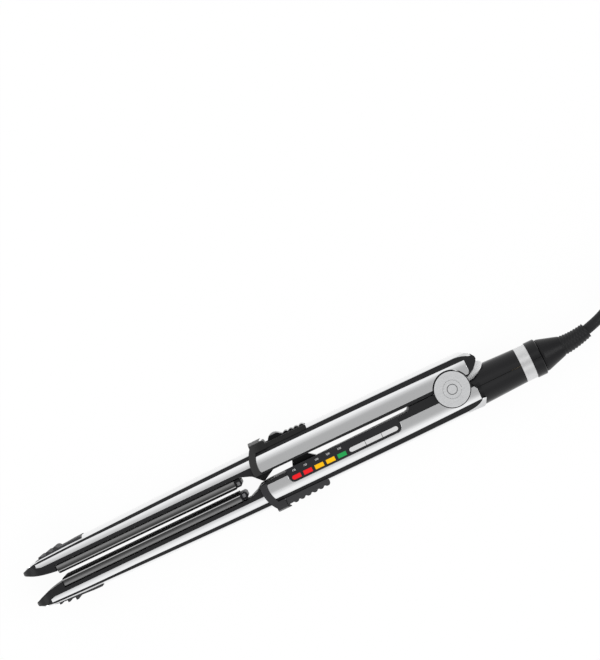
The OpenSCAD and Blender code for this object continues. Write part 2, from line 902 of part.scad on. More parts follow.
mains_y = 12.6;
mains_z = 2;
mains_bend = [1, 12.6];
mains_slope = 18.3;
mains_run = 24.2;
front_ends = [board_x[0] + 1.2, board_x[0] + 3.4];
rear_ends = [board_x[1] - 2.2, board_x[1] - 4.4];

module lower_leads() {
    color("#c23b2e") on_lower() {
        lead_pair(front_ends);
        for (i = [0, 1]) {
            z = i == 0 ? lead_z : -lead_z;
            translate([front_ends[i], lead_y, z]) {
                sphere(lead_r + 0.03, $fn = 24);
                cylinder(r = lead_r, h = board_z - z, $fn = 24);
            }
        }
        // mains leads from the board round the knuckle to the swivel
        for (i = [0, 1]) {
            z = i == 0 ? mains_z : -mains_z;
            translate([rear_ends[i], mains_y, z]) {
                cylinder(r = lead_r, h = board_z - z, $fn = 24);
                sphere(lead_r + 0.03, $fn = 24);
                rotate([0, 90, 0])
                    cylinder(r = lead_r, h = mains_bend[0] - rear_ends[i], $fn = 24);
            }
            translate([mains_bend[0], mains_bend[1], z]) {
                sphere(lead_r + 0.03, $fn = 24);
                rotate([0, 90, -mains_slope]) cylinder(r = lead_r, h = mains_run, $fn = 24);
            }
            translate([mains_bend[0] + mains_run * cos(mains_slope),
                       mains_bend[1] - mains_run * sin(mains_slope), z]) {
                sphere(lead_r + 0.03, $fn = 24);
                rotate([0, 90, 0]) cylinder(r = lead_r, $fn = 24,
                    h = socket_front - mains_bend[0] - mains_run * cos(mains_slope));
            }
        }
    }
}

module upper_screws() {
    color("#9a9ca0") on_upper() screw_set(upper_inner);
}

module lower_screws() {
    color("#9a9ca0") on_lower() screw_set(lower_inner);
}

/* Lower arm */

key_x0 = -fascia_front + 35.8;
key_y = 6;
led_y = 6.3;
led_x0 = -fascia_front + 4.1;
fascia_low = half_w - 1.4;
fascia_high = half_w + 0.2;

board_post_x = [-fascia_front + 5.1, -fascia_front + 59.3];
board_post_y = 11.5;

module lower_frame() {
    color("#17171a") on_lower() {
        difference() {
            union() {
                intersection() {
                    across(-half_w, half_w) lower_outline();
                    arm_sides(-tip_reach, 20);
                }
                hub_rings();
            }
            difference() {
                channel(lower_inner);
                for (x = board_post_x)
                    translate([x, board_post_y, -channel_half - 1])
                        cylinder(r = 2.2, h = channel_half + 1 + board_z, $fn = curve_fn);
            }
            // room under the knuckle for the mains leads
            across(-channel_half, channel_half)
                polygon([[-25, 3.8], [-11.6, 3.8], [-11, 10], [0, 10.6], [9, 8.6], [11.4, 6.4],
                         [11.4, 11.4], [9, 12.8], [3, 13.9], [-25, 14.6]]);
            // the cover's thin end bends over the rear corner
            across(-half_w - 1, half_w + 1)
                polygon(concat(lower_wrap_line, [[16, 11.45], [16, 19], [3, 19]]));
            cylinder(r = knuckle_r + hub_gap, h = 2 * (half_w - hub_t), center = true,
                $fn = curve_fn);
            plate_windows();
            panel_recess(panel_rear_lower);
            // pocket that takes the tongue
            at_collar() translate([-118.4, 0, -6.6]) cube([10.4, 3.9, 13.2]);
            // window of the guide lug
            at_collar() translate([-96.2, 0, -lug_half + 0.3]) cube([14.2, 6, 2 * lug_half - 0.6]);
            screw_cuts(lower_inner);
            // seat and window of the control strip
            translate([0, 0, fascia_low]) linear_extrude(10) fascia_plan(0.05);
            translate([-fascia_front + 0.8, 3.9, channel_half - 1])
                cube([fascia_len - 2.2, 4.2, 10]);
            cylinder(r = pin_r, h = 60, center = true, $fn = curve_fn);
            // seats of the two caps
            for (side = [-1, 1])
                translate([0, 0, side * (half_w + 1.6)])
                    cylinder(r = hub_r - cap_rim, h = 4, center = true, $fn = curve_fn);
            // way out of the leads into the tail
            translate([10.6, tail_drop + 1.2, 0]) rotate([0, 90, 0])
                cylinder(r = 5.4, h = 20, $fn = curve_fn);
        }
        spigot();
    }
}

spigot_r = 7.5;

// short tube that carries the tail
module spigot() {
    difference() {
        translate([12.8, tail_drop, 0]) rotate([0, 90, 0])
            cylinder(r = spigot_r, h = 9.2, $fn = curve_fn);
        translate([8, tail_drop, 0]) rotate([0, 90, 0])
            cylinder(r = 5.4, h = 20, $fn = curve_fn);
        across(-10, 10) polygon([[9, 1], [13.4, 0.1], [17, -1.5], [19.6, -3.4], [23, -8],
            [0, -8], [0, 1]]);
    }
}

// the two hub rings of the lower arm
module hub_rings() {
    for (side = [-1, 1])
        translate([0, 0, side * (half_w - hub_t / 2 + 0.3)])
            cylinder(r = hub_r, h = hub_t + 0.6, center = true, $fn = curve_fn);
}

module lower_cover() {
    color("#c9cbce") on_lower() {
        cover_blank(-pad_rear, 12.2);
        cover_tongue();
        boss_set(lower_inner);
        // lip that wraps round the rear end of the arm
        difference() {
            intersection() {
                across(-half_w, half_w) polygon(concat(lower_wrap_line,
                    [[15.1, 11.85], [13.3, 15.2], [12.2, 15.9], [3, 15.4]]));
                arm_sides(2, 25);
            }
            translate([10, tail_drop, 0]) rotate([0, 90, 0])
                cylinder(r = spigot_r + 0.05, h = 12, $fn = curve_fn);
        }
    }
}

module lower_panel_top() {
    color("#bfc2c6") on_lower() difference() {
        arm_panel(1, panel_rear_lower);
        translate([0, 0, 0]) linear_extrude(40) fascia_plan(0.25);
        cylinder(r = hub_r, h = 60, center = true, $fn = curve_fn);
    }
}

module lower_panel_under() {
    color("#bfc2c6") on_lower() difference() {
        arm_panel(-1, panel_rear_lower);
        cylinder(r = hub_r, h = 60, center = true, $fn = curve_fn);
    }
}

module guide_lug() {
    color("#0b0b0d") translate([0, 0, mid_z]) at_collar() {
        across(-lug_half, lug_half) polygon([[-96.4, -lower_inner - 0.05], [-94.7, 2.8],
            [-94.5, 7], [-87, 7], [-87, 5.6], [-88.8, 5.6], [-88.8, 3.1], [-87, 3.1],
            [-86.8, 2.8], [-80.8, -lower_inner - 0.05]]);
        translate([-96.1, -lower_inner - 2.35, -lug_half + 0.4])
            cube([14, 2.4, 2 * lug_half - 0.8]);
        translate([-98, -lower_inner - 3.5, -lug_half - 1])
            cube([17.6, 1.2, 2 * lug_half + 2]);
    }
}

module pill(x0, x1, w) {
    hull_free_x0 = x0 + w / 2;
    translate([hull_free_x0, -w / 2]) square([x1 - x0 - w, w]);
    translate([hull_free_x0, 0]) circle(w / 2, $fn = curve_fn);
    translate([x1 - w / 2, 0]) circle(w / 2, $fn = curve_fn);
}

// the front end of the first window is round, the others are square
module led_outline(i, grow = 0) {
    x = led_x0 + led_pitch * i - led_len / 2;
    front = i == 0 ? led_w / 2 + grow : 0;
    translate([x - grow + front, led_y - led_w / 2 - grow])
        square([led_len + 2 * grow - front, led_w + 2 * grow]);
    if (i == 0)
        translate([x - grow + front, led_y]) circle(front, $fn = curve_fn);
}

module fascia() {
    color("#0c0c0e") on_lower() difference() {
        translate([0, 0, fascia_low]) linear_extrude(fascia_high - fascia_low) fascia_plan(0);
        translate([0, 0, fascia_low - 1]) linear_extrude(5) {
            translate([0, key_y]) pill(key_x0, key_x0 + key_row, key_w);
            for (i = [0:4]) led_outline(i);
        }
    }
}

module led_lens(i) {
    translate([0, 0, fascia_low - 1.2]) linear_extrude(fascia_high - fascia_low + 1.1)
        led_outline(i, -0.02);
    translate([0, 0, fascia_low - 0.8]) linear_extrude(0.8) led_outline(i, 0.5);
}

module led_red() {
    color("#ed1c24") on_lower() for (i = [0, 1]) led_lens(i);
}

module led_yellow() {
    color("#ffc107") on_lower() for (i = [2, 3]) led_lens(i);
}

module led_green() {
    color("#22a050") on_lower() led_lens(4);
}

key_third = (key_row - 0.5) / 3;

module key_cap(i) {
    x0 = key_x0 + i * (key_third + 0.25);
    plunger_x = x0 + key_third / 2;
    intersection() {
        translate([0, 0, fascia_low - 0.6]) linear_extrude(fascia_high - fascia_low + 1)
            translate([0, key_y]) pill(key_x0 + 0.12, key_x0 + key_row - 0.12, key_w - 0.24);
        translate([x0, 0, 0]) cube([key_third, 20, 40]);
    }
    translate([x0 + 0.15, key_y - key_w / 2 - 0.5, fascia_low - 1])
        cube([key_third - 0.3, key_w + 1, 0.7]);
    translate([plunger_x, key_y, board_z + 1.6 + 3.4 + key_travel + 0.1])
        cylinder(r = 1.1, h = fascia_low - 0.8 - board_z - 5.1 - key_travel, $fn = curve_fn);
}

module key_minus() {
    color("#d7d8da") on_lower() key_cap(0);
}

module key_power() {
    color("#d7d8da") on_lower() key_cap(1);
}

module key_plus() {
    color("#d7d8da") on_lower() key_cap(2);
}

module control_board() {
    color("#1f6b3a") on_lower() difference() {
        translate([board_x[0], 4.1, board_z]) cube([board_x[1] - board_x[0], 9.6, 1.6]);
        for (x = board_post_x)
            translate([x, board_post_y, board_z - 1]) cylinder(r = 0.9, h = 4, $fn = curve_fn);
    }
}

module tact_switches() {
    color("#2c2c30") on_lower() for (i = [0:2])
        translate([key_x0 + i * (key_third + 0.25) + key_third / 2, key_y, board_z + 1.6]) {
            translate([-2.3, -1.8, 0]) cube([4.6, 4.6, 2.8]);
            cylinder(r = 0.9, h = 3.4, $fn = curve_fn);
        }
}

module board_screws() {
    color("#9a9ca0") on_lower() for (x = board_post_x)
        translate([x, board_post_y, board_z]) {
            cylinder(r = 0.9, h = 1.6, $fn = curve_fn);
            translate([0, 0, 1.6]) cylinder(r = 1.7, h = 1.1, $fn = curve_fn);
        }
}

/* Hinge */

module hinge_pin() {
    color("#a7a9ad") translate([0, 0, mid_z])
        cylinder(r = pin_r, h = 2 * (half_w - 0.4), center = true, $fn = curve_fn);
}

module hinge_washers() {
    color("#d9c27a") translate([0, 0, mid_z]) for (side = [-1, 1])
        translate([0, 0, side * (knuckle_half + 0.2)]) difference() {
            cylinder(r = 5, h = 0.3, center = true, $fn = curve_fn);
            cylinder(r = pin_r, h = 1, center = true, $fn = curve_fn);
        }
}

module hinge_cap(side) {
    r = hub_r - cap_rim;
    low = half_w - 0.4;
    top = half_w + cap_proud;
    translate([0, 0, mid_z]) mirror([0, 0, side > 0 ? 0 : 1]) difference() {
        union() {
            translate([0, 0, low]) cylinder(r = r, h = top - low - 0.3, $fn = 2 * curve_fn);
            translate([0, 0, top - 0.3]) cylinder(r1 = r, r2 = r - 0.3, h = 0.3, $fn = 2 * curve_fn);
        }
        // ring grooves round the middle of the upper cap
        if (side > 0)
            translate([0, 0, top]) rotate_extrude($fn = 2 * curve_fn) {
                translate([2.75, 0]) circle(0.22, $fn = 24);
                translate([5.1, 0]) circle(0.12, $fn = 24);
            }
    }
}

module hinge_cap_top() {
    color("#c6c8cb") hinge_cap(1);
}

module hinge_cap_under() {
    color("#c6c8cb") hinge_cap(-1);
}

/* Tail */

// everything in front of the tail's shoulder, in the row's own x and y
module ahead_of_shoulder() {
    polygon([[-40, 40], [21.5, 40], [21.3, 5.8], [19.6, 3.7], [17, 1.8], [13.4, 0.2], [10, -0.7],
             [12.95, -5.8], [12.95, -11.35], [15.2, -11.8], [13.4, -15.4], [13.2, -40], [-40, -40]]);
}

module hinge_bracket() {
    color("#d5d7da") translate([0, 0, mid_z - 9.6]) linear_extrude(19.2) difference() {
        polygon([[9, -0.6], [13.4, 0.25], [16.9, 1.85], [19.5, 3.75], [21.2, 5.8], [20.4, 7.2],
                 [17, 9.1], [15.2, 8.3], [8.9, 5.2]]);
        circle(knuckle_r + 0.7, $fn = curve_fn);
    }
}

band_rear = band_front + band_len;
tail_rear = band_rear + tail_collar_len;
socket_front = 34;
flange_x = band_rear - 2;

module tail_blank() {
    translate([0, -tail_drop, 0]) {
        hull() {
            translate([band_front - 4, 0, 0]) rotate([0, 90, 0])
                cylinder(r = tail_rear_r, h = 4, $fn = 64);
            for (z = [-3, 3])
                translate([9, 0, z]) rotate([0, 90, 0])
                    cylinder(r = tail_front_r, h = 6, $fn = 64);
        }
        rotate([0, 90, 0]) {
            translate([0, 0, band_front - 1])
                cylinder(r = tail_rear_r - 0.55, h = band_len + 2, $fn = 2 * curve_fn);
            translate([0, 0, band_rear])
                cylinder(r = tail_rear_r + 0.4, h = tail_collar_len - 0.4, $fn = 2 * curve_fn);
            translate([0, 0, tail_rear - 0.4])
                cylinder(r1 = tail_rear_r + 0.4, r2 = tail_rear_r, h = 0.4, $fn = 2 * curve_fn);
        }
    }
}

neck_r = 6.3;

module tail_hollow() {
    translate([0, -tail_drop, 0]) rotate([0, 90, 0]) {
        cylinder(r = spigot_r + 0.05, h = flange_x - 1.5, $fn = curve_fn);
        translate([0, 0, flange_x - 0.3]) cylinder(r = 8.4, h = 4, $fn = curve_fn);
        cylinder(r = neck_r, h = tail_rear + 1, $fn = curve_fn);
    }
}

module tail_shell(side) {
    translate([0, 0, mid_z]) difference() {
        intersection() {
            tail_blank();
            translate([0, side > 0 ? -tail_drop + 0.1 : -tail_drop - 40.1, -40]) cube([80, 40, 80]);
        }
        tail_hollow();
        translate([0, 0, -40]) linear_extrude(80) ahead_of_shoulder();
        cylinder(r = hub_r + 0.1, h = 60, center = true, $fn = curve_fn);
    }
}

module tail_shell_upper() {
    color("#232326") tail_shell(1);
}

module tail_shell_lower() {
    color("#232326") tail_shell(-1);
}

module tail_band() {
    color("#c9cbce") translate([band_front + 0.05, -tail_drop, mid_z]) rotate([0, 90, 0]) difference() {
        cylinder(r = tail_rear_r - 0.05, h = band_len - 0.1, $fn = 2 * curve_fn);
        translate([0, 0, -1]) cylinder(r = tail_rear_r - 0.55, h = band_len + 2, $fn = 2 * curve_fn);
    }
}

module swivel_socket() {
    color("#c9a24a") translate([socket_front, -tail_drop, mid_z]) rotate([0, 90, 0]) difference() {
        cylinder(r = spigot_r, h = flange_x - 1.6 - socket_front, $fn = curve_fn);
        translate([0, 0, -1]) cylinder(r = 2.6, h = 20, $fn = curve_fn);
    }
}

cone_front = tail_rear + 0.4;
cone_rear = cone_front + cone_len;

module swivel_hub() {
    color("#3b3b3f") translate([0, -tail_drop, mid_z]) rotate([0, 90, 0]) difference() {
        union() {
            translate([0, 0, flange_x]) cylinder(r = 8, h = 3.2, $fn = curve_fn);
            translate([0, 0, flange_x + 3]) cylinder(r = neck_r - 0.06, h = cone_front - flange_x - 3,
                $fn = curve_fn);
        }
        translate([0, 0, flange_x - 1]) cylinder(r = cord_d / 2 + 0.1, h = 20, $fn = curve_fn);
    }
}

module swivel_cone() {
    color("#1c1c1f") translate([cone_front, -tail_drop, mid_z]) rotate([0, 90, 0]) difference() {
        union() {
            cylinder(r = tail_rear_r - 0.7, h = 1.2, $fn = curve_fn);
            translate([0, 0, 1.2]) cylinder(r1 = tail_rear_r - 0.7, r2 = cone_end_d / 2,
                h = cone_len - 1.2, $fn = 2 * curve_fn);
        }
        translate([0, 0, -1]) cylinder(r = cord_d / 2 + 0.1, h = cone_len + 2, $fn = curve_fn);
    }
}

/* Tubes along a path */

function unit(v) = v / norm(v);
function ahead(p, i) = unit(p[min(i + 1, len(p) - 1)] - p[max(i - 1, 0)]);
function ring(c, t, r, sides) =
    let (u = unit(cross([0, 0, 1], t)), v = cross(t, u))
    [for (j = [0:sides - 1]) c + r * (cos(360 * j / sides) * u + sin(360 * j / sides) * v)];

module tube(path, radii, sides, bore = 0) {
    n = len(path);
    outer = [for (i = [0:n - 1]) each ring(path[i], ahead(path, i), radii[i], sides)];
    inner = bore == 0 ? [] :
        [for (i = [0:n - 1]) each ring(path[i], ahead(path, i), bore, sides)];
    m = n * sides;
    skin = [for (i = [0:n - 2], j = [0:sides - 1])
        let (a = i * sides + j, b = i * sides + (j + 1) % sides)
        each [[a, b + sides, b], [a, a + sides, b + sides]]];
    lining = bore == 0 ? [] : [for (f = skin) [f[0] + m, f[2] + m, f[1] + m]];
    caps = bore == 0 ?
        [[for (j = [0:sides - 1]) j], [for (j = [sides - 1:-1:0]) (n - 1) * sides + j]] :
        [for (j = [0:sides - 1])
            let (a = j, b = (j + 1) % sides, c = (n - 1) * sides + j,
                 d = (n - 1) * sides + (j + 1) % sides)
            each [[a, b, b + m], [a, b + m, a + m], [c, d + m, d], [c, c + m, d + m]]];
    polyhedron(concat(outer, inner), concat(skin, lining, caps), convexity = 10);
}

/* Mains cord */

boot_start = cone_rear;
boot_bend = 0.009;
boot_axis = [
    for (i = [0:18]) let (s = boot_len * i / 18)
    [boot_start + s, -tail_drop + boot_bend * pow(max(0, s - 1), 2), mid_z]
];
boot_taper = [for (i = [0:18]) 5.35 - 1.25 * i / 18 + (i % 2 == 0 ? 0.28 : -0.22)];

module cord_boot() {
    color("#1c1c1f") tube(boot_axis, boot_taper, 12, cord_d / 2 + 0.1);
}

// Route of the cord from inside the boot to the hank
cord_route = concat(
    [for (i = [1, 4, 7, 10, 13, 16, 18]) boot_axis[i]],
    [[boot_start + boot_len + 4, -1.9, 17.9], [boot_start + boot_len + 9, -0.4, 17],
     [boot_start + boot_len + 15, 2, 15.1], [boot_start + boot_len + 21, 5.2, 12.6],
     [boot_start + boot_len + 27, 9.4, 9.8], [boot_start + boot_len + 33, 14.2, 7.2],
     [boot_start + boot_len + 39, 18.8, 5.2], [boot_start + boot_len + 45, 22.4, 4.2],
     [boot_start + boot_len + 51, 24.3, 4], [boot_start + boot_len + 56, 24.8, 4],
     [boot_start + boot_len + 60, 24.8, 4]]
);

module cord_run() {
    color("#1b1b1d") tube(cord_route, [for (p = cord_route) cord_d / 2], 10);
}

hank_in = cord_route[len(cord_route) - 1];
near_x = hank_in[0];
far_x = near_x + hank_run;
outer_y = hank_in[1];
inner_y = outer_y - hank_step;
low_z = hank_in[2];
fold_parts = 8;
climb_shift = 5;

function layer_of(k) = floor(k / 2);
function reach_of(k) = (k % 4 == 0 || k % 4 == 3) ? outer_y : inner_y;
function height_of(k) = low_z + layer_step * layer_of(k);
function clamp01(t) = min(1, max(0, t));
tie_points = [0.42, 0.5, 0.58];

// a run on one side of the hank, drawn in at the tie, without its two ends
function run_points(x0, x1, y, z) = [
    for (t = tie_points) [x0 + (x1 - x0) * t, y - sign(y) * waist, z]
];

function far_fold(k) = [
    for (i = [0:fold_parts]) let (a = 90 - 180 * i / fold_parts, r = reach_of(k))
    [far_x + r * cos(a), r * sin(a), height_of(k)]
];

// how far a near fold stands in or out where it climbs to the next layer
function fold_shift(k) = layer_of(k) == layer_of(k + 1) ? 0 :
    (reach_of(k) == inner_y ? climb_shift : -climb_shift);

function near_fold(k) = [
    for (i = [0:fold_parts])
    let (t = i / fold_parts, a = 270 - 180 * t,
         r = (reach_of(k) + reach_of(k + 1)) / 2,
         y = (reach_of(k + 1) - reach_of(k)) / 2,
         climb = clamp01((180 * t - 30) / 120))
    [near_x + fold_shift(k) + r * cos(a), y + r * sin(a),
     height_of(k) + (height_of(k + 1) - height_of(k)) * climb]
];

last_loop = 7;

function hank_loop(k) = concat(
    k == 0 ? [[near_x, outer_y, low_z], [near_x + 2, outer_y, low_z]] : [],
    run_points(near_x, far_x, reach_of(k), height_of(k)),
    far_fold(k),
    run_points(far_x, near_x, -reach_of(k), height_of(k)),
    k < last_loop ? near_fold(k) : []
);

plug_t = 13.7;
plug_len = 36;
relief_len = 18;
plug_y = -outer_y + 6 * cord_d;
plug_z = height_of(last_loop) + cord_d / 2 + 1.25 + plug_t / 2;
plug_face = far_x + outer_y + cord_d / 2 + 1.2;
plug_back = plug_face - plug_len;
last_lift = 2.5;
last_r = (plug_y + outer_y) / 2;

// the last fold rises over the others to the plug that lies on the hank
hank_last = concat(
    [for (i = [0:fold_parts + 2])
        let (t = i / (fold_parts + 2), a = 270 - 180 * t,
             z0 = height_of(last_loop) + last_lift)
        [near_x + last_r * cos(a), plug_y - last_r + last_r * sin(a),
         z0 + (plug_z - z0) * clamp01(t / 0.85)]],
    [[near_x + cord_d, plug_y, plug_z], [plug_back - relief_len, plug_y, plug_z]]
);

hank_path = concat([for (k = [0:last_loop]) each hank_loop(k)], hank_last);

function path_length(p) = len(p) < 2 ? 0 : let (d = [for (i = [1:len(p) - 1]) norm(p[i] - p[i - 1])])
    [for (v = d) 1] * d;
function least_gap(p, skip) = min([
    for (i = [0:len(p) - 1 - skip]) min([for (j = [i + skip:len(p) - 1]) norm(p[i] - p[j])])
]) - cord_d;

module cord_hank() {
    color("#1b1b1d") tube(hank_path, [for (p = hank_path) cord_d / 2], 6);
}

union() {  // cord_hank
    echo(cord_length_mm = path_length(cord_route) + path_length(hank_path));
    echo(hank_least_gap_mm = least_gap(hank_path, 8));
}

tie_x = near_x + hank_run / 2;
tie_t = 0.9;

module tie_section(grow) {
    y = outer_y - waist + cord_d / 2 + 0.2 + grow;
    z1 = height_of(last_loop) + cord_d / 2 + 0.1 + grow;
    z0 = tie_t - grow;
    r = 3.2 + grow;
    translate([-y, z0 + r]) square([2 * y, z1 - z0 - 2 * r]);
    translate([-y + r, z0]) square([2 * y - 2 * r, z1 - z0]);
    for (side = [-1, 1], z = [z0 + r, z1 - r])
        translate([side * (y - r), z]) circle(r, $fn = curve_fn);
}

module hank_tie() {
    color("#26262a") along(tie_x - 3.5, tie_x + 3.5) difference() {
        tie_section(tie_t);
        tie_section(0);
    }
}

/* Plug */

plug_w = 35.3;

module plug_body() {
    color("#1d1d20") translate([0, plug_y, plug_z]) {
        intersection() {
            translate([0, 0, -plug_t / 2]) linear_extrude(plug_t) polygon([
                [plug_face, -plug_w / 2 + 2], [plug_face - 2, -plug_w / 2],
                [plug_face - 11, -plug_w / 2], [plug_face - 27, -8.4], [plug_back, -6.6],
                [plug_back, 6.6], [plug_face - 27, 8.4], [plug_face - 11, plug_w / 2],
                [plug_face - 2, plug_w / 2], [plug_face, plug_w / 2 - 2]]);
            along(plug_back - 1, plug_face + 1) {
                translate([-plug_w / 2 + 4, -plug_t / 2]) square([plug_w - 8, plug_t]);
                translate([-plug_w / 2, -plug_t / 2 + 4]) square([plug_w, plug_t - 8]);
                for (y = [-1, 1], z = [-1, 1])
                    translate([y * (plug_w / 2 - 4), z * (plug_t / 2 - 4)])
                        circle(4, $fn = curve_fn);
            }
        }
        // tapered relief round the cord
        translate([plug_back - relief_len, 0, 0]) rotate([0, 90, 0])
            cylinder(r1 = 3.9, r2 = 5.4, h = relief_len, $fn = curve_fn);
    }
}

plug_pin_r = 2;
plug_pin_len = 19;
plug_pin_pitch = 18.6;

module plug_pins() {
    color("#c9b06a") for (side = [-1, 1])
        translate([plug_face, plug_y + side * plug_pin_pitch / 2, plug_z]) rotate([0, 90, 0]) {
            cylinder(r = plug_pin_r, h = plug_pin_len - plug_pin_r, $fn = curve_fn);
            translate([0, 0, plug_pin_len - plug_pin_r]) sphere(plug_pin_r, $fn = curve_fn);
        }
}

module hinge_spring() {
    turns = 4;
    coil_r = 3.6;
    rings = 12 * turns;
    coil = [for (i = [0:rings]) let (a = 360 * turns * i / rings)
        [coil_r * cos(a), coil_r * sin(a), -3.4 + 6.8 * i / rings]];
    legs = [[5.4, -0.6, -3.4], each coil, [5.4, 0.6, 3.4]];
    color("#8d9095") translate([0, 0, mid_z]) tube(legs, [for (p = legs) 0.6], 6);
}

upper_frame();
upper_cover();
upper_panel_top();
upper_panel_under();
upper_collar();
upper_tip_pad();
upper_nose();
upper_holder();
upper_plate();
upper_heater();
upper_plate_clip();
upper_float_pads();
upper_leads();
upper_screws();
lock_slide();
lower_frame();
lower_cover();
lower_panel_top();
lower_panel_under();
lower_collar();
lower_grip();
lower_tip_pad();
lower_nose();
lower_holder();
lower_plate();
lower_heater();
lower_plate_clip();
lower_float_pads();
lower_leads();
lower_screws();
guide_lug();
fascia();
led_red();
led_yellow();
led_green();
key_minus();
key_power();
key_plus();
control_board();
tact_switches();
board_screws();
hinge_pin();
hinge_spring();
hinge_washers();
hinge_cap_top();
hinge_cap_under();
hinge_bracket();
tail_shell_upper();
tail_shell_lower();
tail_band();
swivel_socket();
swivel_hub();
swivel_cone();
cord_boot();
cord_run();
cord_hank();
hank_tie();
plug_body();
plug_pins();
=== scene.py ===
import math

import bpy
from mathutils import Matrix, Vector


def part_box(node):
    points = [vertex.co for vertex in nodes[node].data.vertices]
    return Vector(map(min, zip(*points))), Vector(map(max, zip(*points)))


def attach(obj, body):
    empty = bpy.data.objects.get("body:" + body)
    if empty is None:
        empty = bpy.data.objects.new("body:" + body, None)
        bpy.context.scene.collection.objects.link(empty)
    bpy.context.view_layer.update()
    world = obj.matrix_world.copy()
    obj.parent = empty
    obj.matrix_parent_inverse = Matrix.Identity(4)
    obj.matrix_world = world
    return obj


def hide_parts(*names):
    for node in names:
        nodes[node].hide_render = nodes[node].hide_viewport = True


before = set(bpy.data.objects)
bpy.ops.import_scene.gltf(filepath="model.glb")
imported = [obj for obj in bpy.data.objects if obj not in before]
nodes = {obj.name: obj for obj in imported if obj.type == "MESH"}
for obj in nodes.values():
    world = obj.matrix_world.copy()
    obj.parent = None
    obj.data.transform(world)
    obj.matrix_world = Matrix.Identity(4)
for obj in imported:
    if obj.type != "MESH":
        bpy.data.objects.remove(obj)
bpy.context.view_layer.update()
scene = bpy.context.scene

# Numbers are in millimetres and divided by 1000 where they reach Blender, except where a
# comment says metres. X runs to the cord, Y is the way the arms open, Z is the hinge axis.
MM = 1000


def link(ob):
    """Put an object into the scene."""
    scene.collection.objects.link(ob)
    return ob


# ---------------------------------------------------------------- camera
# straight above, the tool lying across the picture; place in metres
CAM_X, CAM_Y, CAM_Z = -0.0605, 0.0644, 1.635
CAM_COS, CAM_SIN = 0.9026, 0.4305

camera = bpy.data.cameras.new("camera")
camera.lens = 161.3
camera.sensor_width = 36
camera.clip_end = 10
camera_ob = link(bpy.data.objects.new("camera", camera))
camera_ob.matrix_world = Matrix((
    (CAM_COS, CAM_SIN, 0, CAM_X),
    (-CAM_SIN, CAM_COS, 0, CAM_Y),
    (0, 0, 1, CAM_Z),
    (0, 0, 0, 1),
))
scene.camera = camera_ob


# ---------------------------------------------------------------- mains cord
# One smooth round cord on the route of its solids. LEAST keeps a division safe at the two
# ends, where a point is its own neighbour.
LEAST = 1e-6


def curve_through(points, step):
    """A smooth cubic line through the points, with its own points about a step apart."""
    line = []
    last = len(points) - 1
    for i in range(last):
        p0, p1 = points[max(i - 1, 0)], points[i]
        p2, p3 = points[i + 1], points[min(i + 2, last)]
        before = max((p1 - p0).length, LEAST)
        here = (p2 - p1).length
        after = max((p3 - p2).length, LEAST)
        straight = (p2 - p1) / here
        leave = straight if i == 0 else ((p1 - p0) / before + straight) / 2
        arrive = straight if i == last - 1 else (straight + (p3 - p2) / after) / 2
        parts = max(1, math.ceil(here / step))
        for j in range(parts):
            t = j / parts
            line.append(p1 * (2 * t ** 3 - 3 * t ** 2 + 1)
                        + leave * ((t ** 3 - 2 * t ** 2 + t) * here)
                        + p2 * (-2 * t ** 3 + 3 * t ** 2)
                        + arrive * ((t ** 3 - t ** 2) * here))
    line.append(points[-1])
    return line


# height of the tool's middle plane, and how far the tail's axis lies below the hinge
AXIS_Z, TAIL_DROP = 18.0, 5.0
# the boot: straight for BOOT_STRAIGHT, then bent sideways with the square of the distance
BOOT_START, BOOT_LEN, BOOT_STRAIGHT, BOOT_BEND = 64.6, 16.0, 1, 0.009
BOOT_PARTS = 18


def boot_point(s):
    """The point of the boot's bent middle line that lies s behind its start."""
    aside = BOOT_BEND * max(0.0, s - BOOT_STRAIGHT) ** 2
    return Vector((BOOT_START + s, -TAIL_DROP + aside, AXIS_Z))


BOOT_END = BOOT_START + BOOT_LEN
route = [boot_point(BOOT_LEN * i / BOOT_PARTS) for i in (1, 4, 7, 10, 13, 16, 18)]
# from the boot down to the table: distance behind the boot, Y and Z
route += [
    Vector((BOOT_END + behind, y, z)) for behind, y, z in (
        (4, -1.9, 17.9), (9, -0.4, 17), (15, 2, 15.1), (21, 5.2, 12.6), (27, 9.4, 9.8),
        (33, 14.2, 7.2), (39, 18.8, 5.2), (45, 22.4, 4.2), (51, 24.3, 4), (56, 24.8, 4),
        (60, 24.8, 4))
]

# the tied hank: near and far folds in X, straight runs between them, two loops in each layer
NEAR, RUN = BOOT_END + 60, 46.0
FAR = NEAR + RUN
OUTER, INNER = 24.8, 18.0
LOW, LAYER = 4.0, 6.5
LOOPS, FOLD_PARTS = 8, 8
# where the tie draws the runs in, as parts of a run, and by how much
AT_TIE, WAIST = (0.42, 0.5, 0.58), 4
# a near fold that changes the layer: its shift in X, and the degrees of turn where its climb
# starts and over which it lasts
CLIMB_SHIFT, CLIMB_FROM, CLIMB_OVER = 5, 30, 120
# the plug lies on the hank, its face a little beyond the far folds
CORD_HALF, PLUG_BEYOND = 3, 1.2
PLUG_Y, PLUG_Z, PLUG_FACE = 11.2, 34.6, FAR + OUTER + CORD_HALF + PLUG_BEYOND
PLUG_LEN, RELIEF_LEN = 36, 18
# the last fold: lift at its start, and the part of its turn after which it is at the plug
LAST_LIFT, LAST_RISE, LAST_PARTS = 2.5, 0.85, 10


def reach(loop):
    """How far a loop of the hank stands out from the hank's middle."""
    return OUTER if loop % 4 in (0, 3) else INNER


def height(loop):
    """Height of a loop's middle line above the table."""
    return LOW + LAYER * (loop // 2)


def fold(x, y, r, start, parts, z_at):
    """Half a turn round x, y from a start angle, its height z_at from 0 to 1 of the turn."""
    points = []
    for i in range(parts + 1):
        t = i / parts
        a = math.radians(start - 180 * t)
        points.append(Vector((x + r * math.cos(a), y + r * math.sin(a), z_at(t))))
    return points


